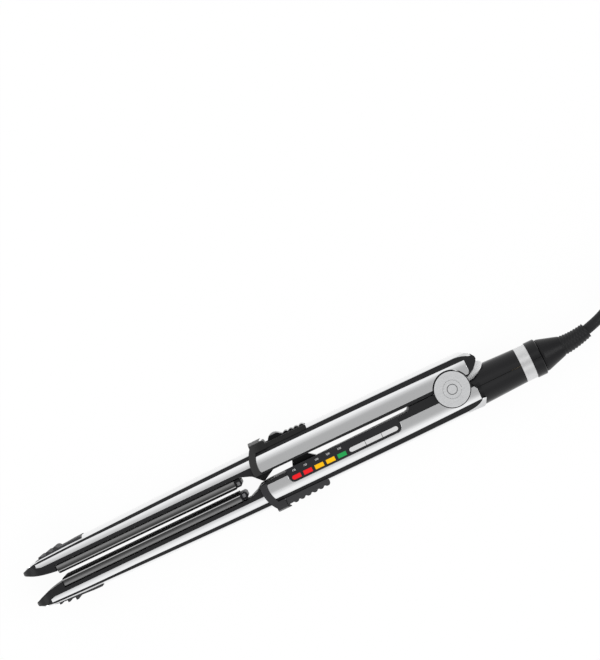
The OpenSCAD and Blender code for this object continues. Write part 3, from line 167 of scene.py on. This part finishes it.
def near_fold(loop):
    """The near end of a loop, which climbs where the next loop lies in the next layer."""
    here, following = reach(loop), reach(loop + 1)
    z = height(loop)
    rise = height(loop + 1) - z
    shift = 0
    if rise:
        shift = CLIMB_SHIFT if here == INNER else -CLIMB_SHIFT
    return fold(NEAR + shift, (following - here) / 2, (here + following) / 2, 270, FOLD_PARTS,
                lambda t: z + rise * min(1, max(0, (180 * t - CLIMB_FROM) / CLIMB_OVER)))


hank = [Vector((NEAR + 2, OUTER, LOW))]
for loop in range(LOOPS):
    r, z = reach(loop), height(loop)
    hank += [Vector((NEAR + RUN * t, r - WAIST, z)) for t in AT_TIE]
    hank += fold(FAR, 0, r, 90, FOLD_PARTS, lambda t: z)
    hank += [Vector((FAR - RUN * t, -r + WAIST, z)) for t in AT_TIE]
    if loop < LOOPS - 1:
        hank += near_fold(loop)
# the last fold rises to the plug
r = (PLUG_Y + OUTER) / 2
z = height(LOOPS - 1) + LAST_LIFT
hank += fold(NEAR, PLUG_Y - r, r, 270, LAST_PARTS,
             lambda t: z + (PLUG_Z - z) * min(1, t / LAST_RISE))
hank += [Vector((NEAR + 6, PLUG_Y, PLUG_Z)),
         Vector((PLUG_FACE - PLUG_LEN - RELIEF_LEN, PLUG_Y, PLUG_Z))]

# radius in metres, a hair inside the solid's, and the step along the line
CORD_R, CORD_STEP = 0.00297, 1.5

cord_line = curve_through(route + hank, CORD_STEP)
cord_data = bpy.data.curves.new("mains_cord", "CURVE")
cord_data.dimensions = "3D"
cord_data.bevel_depth = 1.0
cord_data.bevel_resolution = 4
cord_data.use_fill_caps = True
spline = cord_data.splines.new("POLY")
spline.points.add(len(cord_line) - 1)
for point, p in zip(spline.points, cord_line):
    point.co = (p.x / MM, p.y / MM, p.z / MM, 1)
    point.radius = CORD_R
mains_cord = link(bpy.data.objects.new("mains_cord", cord_data))
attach(mains_cord, "cord_side")
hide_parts("cord_run", "cord_hank")


# ---------------------------------------------------------------- materials
# the factor, the two colours and the result among the Mix node's sockets
MIX_FACTOR, MIX_A, MIX_B, MIX_RESULT = 0, 6, 7, 2
# depths in metres of the surfaces' fine grain and of the disc's turning rings
GRAIN_DEPTH, TURNED_DEPTH = 0.0002, 0.0001
EDGE_SAMPLES = 6


def grey(v):
    return (v, v, v, 1)


def add_node(nt, kind, values=None, links=None):
    """A shader node with values and links for its inputs."""
    node = nt.nodes.new("ShaderNode" + kind)
    for key, value in (values or {}).items():
        node.inputs[key].default_value = value
    for key, output in (links or {}).items():
        nt.links.new(output, node.inputs[key])
    return node


def principled(name, color, rough, metal=0.0, color2=None, scale=40.0, bump=0.0,
               bump_scale=400.0, rough_var=0.06, spec=0.5, edge=0.0, stretch=(1, 1, 1)):
    """A surface whose colour and roughness vary a little with a noise in object space.

    bump is the strength of a finer grain, edge the radius of softened edges, and stretch
    draws the noise out, as brushing does.
    """
    mat = bpy.data.materials.new(name)
    mat.use_nodes = True
    nt = mat.node_tree
    surface = nt.nodes["Principled BSDF"]
    coord = add_node(nt, "TexCoord")
    place = add_node(nt, "Mapping", {"Scale": stretch}, {"Vector": coord.outputs["Object"]})
    noise = add_node(nt, "TexNoise", {"Scale": scale, "Detail": 4},
                     {"Vector": place.outputs["Vector"]})
    colors = add_node(nt, "Mix")
    colors.data_type = "RGBA"
    color2 = color2 or tuple(min(1.0, c * 1.12 + 0.004) for c in color)
    colors.inputs[MIX_A].default_value = (*color, 1)
    colors.inputs[MIX_B].default_value = (*color2, 1)
    nt.links.new(noise.outputs["Fac"], colors.inputs[MIX_FACTOR])
    nt.links.new(colors.outputs[MIX_RESULT], surface.inputs["Base Color"])
    roughness = add_node(nt, "MapRange",
                         {"To Min": max(0.0, rough - rough_var), "To Max": rough + rough_var},
                         {"Value": noise.outputs["Fac"]})
    nt.links.new(roughness.outputs["Result"], surface.inputs["Roughness"])
    surface.inputs["Metallic"].default_value = metal
    surface.inputs["Specular IOR Level"].default_value = spec
    normal = None
    if edge:
        soft_edge = add_node(nt, "Bevel", {"Radius": edge / MM})
        soft_edge.samples = EDGE_SAMPLES
        normal = soft_edge.outputs["Normal"]
    if bump:
        fine = add_node(nt, "TexNoise", {"Scale": bump_scale, "Detail": 2},
                        {"Vector": place.outputs["Vector"]})
        grain = add_node(nt, "Bump", {"Strength": bump, "Distance": GRAIN_DEPTH},
                         {"Height": fine.outputs["Fac"]})
        if normal:
            nt.links.new(normal, grain.inputs["Normal"])
        normal = grain.outputs["Normal"]
    if normal:
        nt.links.new(normal, surface.inputs["Normal"])
    return mat


MATS = {
    "black": principled("black_plastic", (0.010, 0.010, 0.011), 0.38, bump=0.1, bump_scale=1500,
                        spec=0.2, edge=0.3),
    "chrome": principled("chrome", (0.80, 0.805, 0.815), 0.1, 1.0, rough_var=0.02, scale=30,
                         color2=(0.83, 0.835, 0.84), edge=0.15),
    "satin": principled("satin_black", (0.020, 0.020, 0.022), 0.42, bump=0.12, bump_scale=1600,
                        spec=0.3, edge=0.4),
    # the collar's colour is replaced below by a band of painted shade behind the slide
    "collar": principled("collar_black_painted_shade", (0.020, 0.020, 0.022), 0.42, bump=0.12,
                         bump_scale=1600, spec=0.3, edge=0.4),
    "tail": principled("tail_black", (0.006, 0.006, 0.007), 0.2, bump=0.08, bump_scale=1600,
                       spec=0.25, edge=0.3),
    "cone": principled("cone_black", (0.005, 0.005, 0.006), 0.34, bump=0.08, bump_scale=1600,
                       spec=0.2, edge=0.3),
    "grip": principled("grip_rubber", (0.028, 0.028, 0.03), 0.6, bump=0.3, bump_scale=2200,
                       spec=0.3, edge=0.3),
    "gloss": principled("gloss_black", (0.003, 0.003, 0.004), 0.2, rough_var=0.03, spec=0.18,
                        edge=0.3),
    "strip": principled("control_strip", (0.014, 0.014, 0.016), 0.26, rough_var=0.04, spec=0.25,
                        edge=0.2),
    # the holder's colour is replaced below by bands of painted reflection and painted shade
    "alloy": principled("holder_alloy", (0.17, 0.17, 0.175), 0.38, 0.9, bump=0.1,
                        color2=(0.21, 0.21, 0.215), stretch=(0.1, 6, 1), scale=300),
    "plate": principled("plate_coating", (0.003, 0.003, 0.003), 0.55, spec=0.05),
    "ceramic": principled("heater_ceramic", (0.75, 0.72, 0.65), 0.6),
    "clip": principled("clip_plastic", (0.008, 0.008, 0.009), 0.4, bump=0.1, bump_scale=1500,
                       spec=0.2, edge=0.2),
    "clip_face": principled("clip_face", (0.15, 0.15, 0.155), 0.45, bump=0.1, bump_scale=1500,
                            edge=0.2),
    "pad": principled("pad_silicone", (0.45, 0.10, 0.07), 0.6),
    "lead": principled("lead_silicone", (0.5, 0.06, 0.05), 0.5),
    "steel": principled("bare_steel", (0.7, 0.71, 0.73), 0.22, 1.0),
    "bracket": principled("polished_bracket", (0.92, 0.92, 0.93), 0.3, 0.2, rough_var=0.04,
                          edge=0.3),
    "disc": principled("brushed_disc", (0.60, 0.605, 0.615), 0.34, 0.65, scale=220,
                       color2=(0.72, 0.725, 0.73), rough_var=0.03, stretch=(1, 5, 1), edge=0.25),
    "band": principled("satin_band", (0.62, 0.625, 0.63), 0.3, 0.85, scale=600,
                       color2=(0.74, 0.74, 0.745), rough_var=0.04, stretch=(4, 1, 1), edge=0.2),
    "brass": principled("brass", (0.75, 0.58, 0.30), 0.3, 1.0),
    "red": principled("red_window", (0.82, 0.010, 0.016), 0.3, scale=300, spec=0.2,
                      color2=(0.86, 0.014, 0.02)),
    "yellow": principled("yellow_window", (0.98, 0.50, 0.002), 0.3, scale=300, spec=0.2,
                         color2=(1.0, 0.55, 0.003)),
    "green": principled("green_window", (0.014, 0.33, 0.075), 0.3, scale=300, spec=0.2,
                        color2=(0.018, 0.37, 0.09)),
    "key": principled("key_grey", (0.62, 0.62, 0.625), 0.4, bump=0.1, bump_scale=1600,
                      color2=(0.66, 0.66, 0.665), edge=0.2),
    "board": principled("board", (0.03, 0.16, 0.06), 0.4),
    "cord": principled("cord_pvc", (0.006, 0.006, 0.007), 0.42, bump=0.2, bump_scale=1500,
                       spec=0.25),
    "pin": principled("pin_nickel", (0.72, 0.68, 0.6), 0.2, 1.0),
    "print": principled("white_print", (0.72, 0.72, 0.72), 0.5, scale=600,
                        color2=(0.8, 0.8, 0.8)),
    # a dark strip that stands for the painted shade in the hinge cap's groove
    "ring": principled("groove_painted_shade", (0.12, 0.12, 0.125), 0.4, 0.6, scale=300,
                       color2=(0.17, 0.17, 0.175)),
}


def painted_light_bands(mat, axis, painted_light_stops):
    """Grey bands of painted light and shade by the distance from the origin along an axis, under
    the material's own grain.
    """
    nt = mat.node_tree
    (near, first), (far, last) = painted_light_stops[0], painted_light_stops[-1]
    coord = add_node(nt, "TexCoord")
    parts = add_node(nt, "SeparateXYZ", None, {0: coord.outputs["Object"]})
    distance = add_node(nt, "Math", None, {0: parts.outputs[axis]})
    distance.operation = "ABSOLUTE"
    place = add_node(nt, "MapRange", {"From Min": near / MM, "From Max": far / MM},
                     {"Value": distance.outputs[0]})
    ramp = add_node(nt, "ValToRGB", None, {0: place.outputs["Result"]})
    ends = ramp.color_ramp.elements
    ends[0].color, ends[1].color = grey(first), grey(last)
    for where, v in painted_light_stops[1:-1]:
        ramp.color_ramp.elements.new((where - near) / (far - near)).color = grey(v)
    grain = nt.nodes["Mix"]
    grain.inputs[MIX_A].default_value = grey(0.9)
    grain.inputs[MIX_B].default_value = grey(1.0)
    mix = add_node(nt, "Mix")
    mix.data_type = "RGBA"
    mix.blend_type = "MULTIPLY"
    mix.inputs[MIX_FACTOR].default_value = 1.0
    nt.links.new(ramp.outputs[0], mix.inputs[MIX_A])
    nt.links.new(grain.outputs[MIX_RESULT], mix.inputs[MIX_B])
    nt.links.new(mix.outputs[MIX_RESULT], nt.nodes["Principled BSDF"].inputs["Base Color"])


# the holder's side, its light and shade painted as grey bands: a painted highlight on the edge
# behind the plate, painted shade in the channel, a lighter painted reflection on the back
painted_light_bands(MATS["alloy"], "Y", [(2.3, 0.55), (2.75, 0.6), (2.95, 0.05), (3.6, 0.07), (4.4, 0.16),
                            (5.3, 0.30), (5.7, 0.22), (6.0, 0.05)])
# the collar: painted shade makes the bed behind the slide much darker than the lighter front band
painted_light_bands(MATS["collar"], "X", [(78, 0.004), (108, 0.005), (112, 0.022), (120, 0.026)])


def turned(mat, scale, strength):
    """Fine turning rings round the hinge axis."""
    nt = mat.node_tree
    coord = add_node(nt, "TexCoord")
    wave = add_node(nt, "TexWave", {"Scale": scale, "Distortion": 1.2, "Detail": 2},
                    {"Vector": coord.outputs["Object"]})
    wave.wave_type = "RINGS"
    wave.rings_direction = "Z"
    bump = add_node(nt, "Bump", {"Strength": strength, "Distance": TURNED_DEPTH},
                    {"Height": wave.outputs["Fac"]})
    nt.links.new(bump.outputs["Normal"], nt.nodes["Principled BSDF"].inputs["Normal"])


turned(MATS["disc"], 420, 0.12)

PAINT = {
    "black": ["upper_frame", "lower_frame", "upper_nose", "lower_nose"],
    "chrome": ["upper_cover", "lower_cover", "upper_panel_top", "upper_panel_under",
               "lower_panel_top", "lower_panel_under"],
    "band": ["tail_band"],
    "collar": ["upper_collar"],
    "satin": ["lower_collar", "hank_tie"],
    "tail": ["tail_shell_upper", "tail_shell_lower"],
    "cone": ["swivel_hub", "swivel_cone"],
    "grip": ["lower_grip", "upper_tip_pad", "lower_tip_pad"],
    "gloss": ["lock_slide", "guide_lug"],
    "strip": ["fascia"],
    "alloy": ["upper_holder", "lower_holder"],
    "plate": ["upper_plate", "lower_plate"],
    "ceramic": ["upper_heater", "lower_heater"],
    "clip": ["upper_plate_clip", "lower_plate_clip", "tact_switches"],
    "pad": ["upper_float_pads", "lower_float_pads"],
    "lead": ["upper_leads", "lower_leads"],
    "steel": ["upper_screws", "lower_screws", "board_screws", "hinge_pin", "hinge_spring"],
    "bracket": ["hinge_bracket"],
    "disc": ["hinge_cap_top", "hinge_cap_under"],
    "brass": ["hinge_washers", "swivel_socket"],
    "red": ["led_red"],
    "yellow": ["led_yellow"],
    "green": ["led_green"],
    "key": ["key_minus", "key_power", "key_plus"],
    "board": ["control_board"],
    "cord": ["cord_boot", "cord_run", "cord_hank", "plug_body"],
    "pin": ["plug_pins"],
}
for mat_name, piece_names in PAINT.items():
    for piece_name in piece_names:
        nodes[piece_name].data.materials.clear()
        nodes[piece_name].data.materials.append(MATS[mat_name])
cord_data.materials.append(MATS["cord"])


# ---------------------------------------------------------------- added pieces
def mesh_piece(name, verts, faces, mat, smooth=True):
    """A new object from points in millimetres."""
    mesh = bpy.data.meshes.new(name)
    mesh.from_pydata([tuple(c / MM for c in v) for v in verts], [], faces)
    mesh.materials.append(mat)
    if smooth:
        for polygon in mesh.polygons:
            polygon.use_smooth = True
    mesh.validate()
    return link(bpy.data.objects.new(name, mesh))


def lathe(name, axis, radii, mat, sides=56, bore=None):
    """A rod of changing radius along a bent axis with closed ends, or a tube if it has a bore."""
    verts, faces = [], []
    n = len(axis)
    for shell in ([radii, [bore] * n] if bore else [radii]):
        for i, centre in enumerate(axis):
            along = (axis[min(i + 1, n - 1)] - axis[max(i - 1, 0)]).normalized()
            u = Vector((0, 0, 1)).cross(along).normalized()
            v = along.cross(u)
            for j in range(sides):
                a = 2 * math.pi * j / sides
                verts.append(centre + (u * math.cos(a) + v * math.sin(a)) * shell[i])
    inner = n * sides
    for i in range(n - 1):
        for j in range(sides):
            a, b = i * sides + j, i * sides + (j + 1) % sides
            faces.append((a, b, b + sides, a + sides))
            if bore:
                faces.append((inner + a, inner + a + sides, inner + b + sides, inner + b))
    end = (n - 1) * sides
    if bore:
        for j in range(sides):
            a, b = j, (j + 1) % sides
            faces.append((b, a, a + inner, b + inner))
            faces.append((end + a, end + b, end + b + inner, end + a + inner))
    else:
        faces.append(tuple(range(sides - 1, -1, -1)))
        faces.append(tuple(end + j for j in range(sides)))
    return mesh_piece(name, verts, faces, mat)


# the ribbed boot round the cord, with finer and softer ribs than its solid's
FINE_PARTS, RIBS = 108, 9
FRONT_R, TAPER, BORE_R = 5.45, 1.2, 3.08
# half the depth of a rib, and how much its wave is cut off at the top and bottom
RIB, RIB_CUT = 0.15, 1.6
boot_line, boot_radii = [], []
for i in range(FINE_PARTS + 1):
    s = BOOT_LEN * i / FINE_PARTS
    wave = math.cos(2 * math.pi * s / (BOOT_LEN / RIBS))
    boot_line.append(boot_point(s))
    boot_radii.append(FRONT_R - TAPER * s / BOOT_LEN
                      + RIB * max(-1.0, min(1.0, RIB_CUT * wave)))
boot = lathe("ribbed_boot", boot_line, boot_radii, MATS["cord"], bore=BORE_R)
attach(boot, "cord_side")
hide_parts("cord_boot")

# lighter faces in the windows of the plate clips, four tablets with a small chamfer
HANDLE_LEN = 128.5
FACE_X0, FACE_X1, FACE_Y0, FACE_Y1 = -HANDLE_LEN + 1.1, -HANDLE_LEN + 2.9, 2.5, 4.55
FACE_LOW, FACE_HIGH, FACE_CHAMFER, FACE_SHRINK = 13.55, 13.9, 0.08, 0.9
CORNER_R, CORNER_PARTS = 0.25, 4

face_rim = []
for cx, cy, start in ((FACE_X1 - CORNER_R, FACE_Y1 - CORNER_R, 0),
                      (FACE_X0 + CORNER_R, FACE_Y1 - CORNER_R, 90),
                      (FACE_X0 + CORNER_R, FACE_Y0 + CORNER_R, 180),
                      (FACE_X1 - CORNER_R, FACE_Y0 + CORNER_R, 270)):
    for i in range(CORNER_PARTS + 1):
        a = math.radians(start + 90 * i / CORNER_PARTS)
        face_rim.append((cx + CORNER_R * math.cos(a), cy + CORNER_R * math.sin(a)))
mid_x, mid_y = (FACE_X0 + FACE_X1) / 2, (FACE_Y0 + FACE_Y1) / 2
shrunk_rim = [(mid_x + (x - mid_x) * FACE_SHRINK, mid_y + (y - mid_y) * FACE_SHRINK)
              for x, y in face_rim]
n = len(face_rim)
faces = [tuple(range(n)), tuple(2 * n + i for i in range(n))]
for ring in (0, n):
    faces += [(ring + i, ring + (i + 1) % n, ring + n + (i + 1) % n, ring + n + i)
              for i in range(n)]
for arm in (1, -1):
    for side in (1, -1):
        low, high = AXIS_Z + side * FACE_LOW, AXIS_Z + side * FACE_HIGH
        verts = [(x, arm * y, z)
                 for rim, z in ((face_rim, low), (face_rim, high - side * FACE_CHAMFER),
                                (shrunk_rim, high))
                 for x, y in rim]
        name = ("upper" if arm > 0 else "lower") + "_clip_face_" + ("top" if side > 0 else "under")
        face = mesh_piece(name, verts, faces, MATS["clip_face"], smooth=False)
        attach(face, ("upper" if arm > 0 else "lower") + "_plate_unit")

# thin bright rim along the control strip, a little outside its edge
RIM_OUT, RIM_R, RIM_SUNK, RIM_STEP = 0.12, 0.13, 0.02, 1.5
STRIP_X0, STRIP_X1 = -100.3 - RIM_OUT, -33.4 + RIM_OUT
STRIP_EDGE, STRIP_R, STRIP_PARTS = 8.6 + RIM_OUT, 3.12, 12
RIM_END_Y = -3.9
# the panel is flat at PANEL_Z up to PANEL_FLAT from the middle and falls off beyond
PANEL_Z, PANEL_FLAT, PANEL_FALL = 34.8, 7, 36

corners = [(STRIP_X0, RIM_END_Y)]
for cx, start in ((STRIP_X0 + STRIP_R, 180), (STRIP_X1 - STRIP_R, 270)):
    for i in range(STRIP_PARTS + 1):
        a = math.radians(start + 90 * i / STRIP_PARTS)
        corners.append((cx + STRIP_R * math.cos(a),
                        -(STRIP_EDGE - STRIP_R) + STRIP_R * math.sin(a)))
corners.append((STRIP_X1, RIM_END_Y))
rim_line = []
for (xa, ya), (xb, yb) in zip(corners, corners[1:]):
    parts = max(1, int(math.hypot(xb - xa, yb - ya) / RIM_STEP))
    for i in range(parts):
        t = i / parts
        rim_line.append((xa + (xb - xa) * t, ya + (yb - ya) * t))
rim_line.append(corners[-1])
rim_axis = [Vector((x, y, PANEL_Z - RIM_SUNK - max(0.0, -y - PANEL_FLAT) ** 2 / PANEL_FALL))
            for x, y in rim_line]
strip_rim = lathe("strip_rim", rim_axis, [RIM_R] * len(rim_axis), MATS["chrome"], sides=10)
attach(strip_rim, "lower_arm")

# plain numbers above the light windows, as strokes on a grid one wide and two high
STROKES = {
    "0": ((0, 0, 0, 2), (0, 2, 1, 2), (1, 2, 1, 0), (1, 0, 0, 0)),
    "1": ((0.5, 0, 0.5, 2),),
    "2": ((0, 2, 1, 2), (1, 2, 1, 1), (1, 1, 0, 1), (0, 1, 0, 0), (0, 0, 1, 0)),
    "4": ((0, 2, 0, 1), (0, 1, 1, 1), (1, 2, 1, 0)),
    "6": ((1, 2, 0, 2), (0, 2, 0, 0), (0, 0, 1, 0), (1, 0, 1, 1), (1, 1, 0, 1)),
    "8": ((0, 0, 0, 2), (0, 2, 1, 2), (1, 2, 1, 0), (1, 0, 0, 0), (0, 1, 1, 1)),
}
LABEL_X, LABEL_STEP, DIGIT_STEP = -96.2, 6.8, 0.72
GRID_W, GRID_H, BASE_Y, STROKE = 0.44, 0.42, -3.0, 0.07
PRINT_SUNK, PRINT_HIGH = 0.03, 0.015
PRINT_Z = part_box("fascia")[1][2] * MM + PRINT_HIGH

verts, faces = [], []
for i, label in enumerate(("140", "160", "180", "200", "220")):
    for j, digit in enumerate(label):
        left = LABEL_X + LABEL_STEP * i + DIGIT_STEP * (j - 1) - GRID_W / 2
        for xa, ya, xb, yb in STROKES[digit]:
            x0, x1 = left + GRID_W * min(xa, xb) - STROKE, left + GRID_W * max(xa, xb) + STROKE
            y0, y1 = BASE_Y + GRID_H * min(ya, yb) - STROKE, BASE_Y + GRID_H * max(ya, yb) + STROKE
            n = len(verts)
            verts += [(x, y, z) for z in (PRINT_Z - PRINT_SUNK, PRINT_Z)
                      for x, y in ((x0, y0), (x1, y0), (x1, y1), (x0, y1))]
            faces += [(n + 3, n + 2, n + 1, n), (n + 4, n + 5, n + 6, n + 7)]
            faces += [(n + q, n + (q + 1) % 4, n + 4 + (q + 1) % 4, n + 4 + q) for q in range(4)]
numerals = mesh_piece("plain_numerals", verts, faces, MATS["print"], smooth=False)
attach(numerals, "lower_arm")

RING_SIDES, RING_THICK, RING_SUNK = 96, 0.1, 0.02
RING_SECTION = ((-1, -0.4), (-0.6, 0), (0.6, 0), (1, -0.4))
CAP_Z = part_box("hinge_cap_top")[1][2] * MM


def ring_strip(name, r, width, mat):
    """A flat ring with a low section, let into the top of the hinge cap."""
    verts, faces = [], []
    for j in range(RING_SIDES):
        a = 2 * math.pi * j / RING_SIDES
        for across, up in RING_SECTION:
            here = r + across * width / 2
            verts.append((here * math.cos(a), here * math.sin(a),
                          CAP_Z - RING_SUNK + up * RING_THICK))
    for j in range(RING_SIDES):
        following = (j + 1) % RING_SIDES
        for q in range(4):
            a, b = j * 4 + q, j * 4 + (q + 1) % 4
            c, d = following * 4 + q, following * 4 + (q + 1) % 4
            faces.append((a, c, d, b))
    ring = mesh_piece(name, verts, faces, mat)
    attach(ring, "lower_arm")


# the inner ring is a dark strip of painted shade laid into the cap's groove
ring_strip("cap_groove_painted_shade", 2.7, 0.3, MATS["ring"])
ring_strip("cap_ring_outer", 5.1, 0.16, MATS["band"])

# ---------------------------------------------------------------- floor, lamps and light tent
# Sizes and places from here on are in metres. The floor is seen and mirrored as white, with
# a share of its own shading for the shadow.
FLOOR_SIZE, FLOOR_DROP, WHITE_SHARE = 12.0, 0.0002, 0.95

floor_mat = principled("floor_white", (0.93, 0.93, 0.93), 0.9, scale=3, spec=0.1)
nt = floor_mat.node_tree
light_path = add_node(nt, "LightPath")
seen = add_node(nt, "Math", None, {0: light_path.outputs["Is Camera Ray"],
                                   1: light_path.outputs["Is Glossy Ray"]})
seen.operation = "MAXIMUM"
seen_all = add_node(nt, "Math", None, {0: seen.outputs[0],
                                       1: light_path.outputs["Is Transmission Ray"]})
seen_all.operation = "MAXIMUM"
share = add_node(nt, "Math", {1: WHITE_SHARE}, {0: seen_all.outputs[0]})
share.operation = "MULTIPLY"
white = add_node(nt, "Emission", {"Color": (1, 1, 1, 1), "Strength": 1.0})
mix = add_node(nt, "MixShader", None, {0: share.outputs[0],
                                       1: nt.nodes["Principled BSDF"].outputs[0],
                                       2: white.outputs[0]})
nt.links.new(mix.outputs[0], nt.nodes["Material Output"].inputs["Surface"])
half = FLOOR_SIZE / 2 * MM
floor = mesh_piece("floor", [(-half, -half, 0), (half, -half, 0), (half, half, 0),
                             (-half, half, 0)], [(0, 1, 2, 3)], floor_mat, smooth=False)
floor.location = (0, 0, -FLOOR_DROP)

LAMP_SIZE, LAMP_POWER = 1.2, 12


def area(name, place):
    """A square lamp that faces the origin."""
    lamp = bpy.data.lights.new(name, "AREA")
    lamp.energy = LAMP_POWER
    lamp.size = LAMP_SIZE
    ob = link(bpy.data.objects.new(name, lamp))
    ob.location = place
    ob.rotation_euler = (-Vector(place)).to_track_quat("-Z", "Y").to_euler()


area("beyond_tips", (-2.0, 0.4, 1.6))
area("beyond_cord", (2.0, -0.3, 1.6))

# light tent: pale low down, brighter high up and a softer grey straight above
HORIZON, ZENITH = 0.95, 0.50
TENT = ((0.3, 0.86), (0.5, 0.76), (0.74, 0.80), (0.85, 1.12), (0.915, 1.0), (0.955, 0.74),
        (0.985, 0.54))

world = bpy.data.worlds.new("studio")
scene.world = world
world.use_nodes = True
nt = world.node_tree
coord = add_node(nt, "TexCoord")
parts = add_node(nt, "SeparateXYZ", None, {0: coord.outputs["Generated"]})
ramp = add_node(nt, "ValToRGB", None, {0: parts.outputs["Z"]})
ends = ramp.color_ramp.elements
ends[0].position, ends[0].color = 0.0, grey(HORIZON)
ends[1].position, ends[1].color = 1.0, grey(ZENITH)
for position, v in TENT:
    ramp.color_ramp.elements.new(position).color = grey(v)
background = nt.nodes["Background"]
nt.links.new(ramp.outputs[0], background.inputs["Color"])
background.inputs["Strength"].default_value = 1.0

scene.view_settings.view_transform = "Standard"
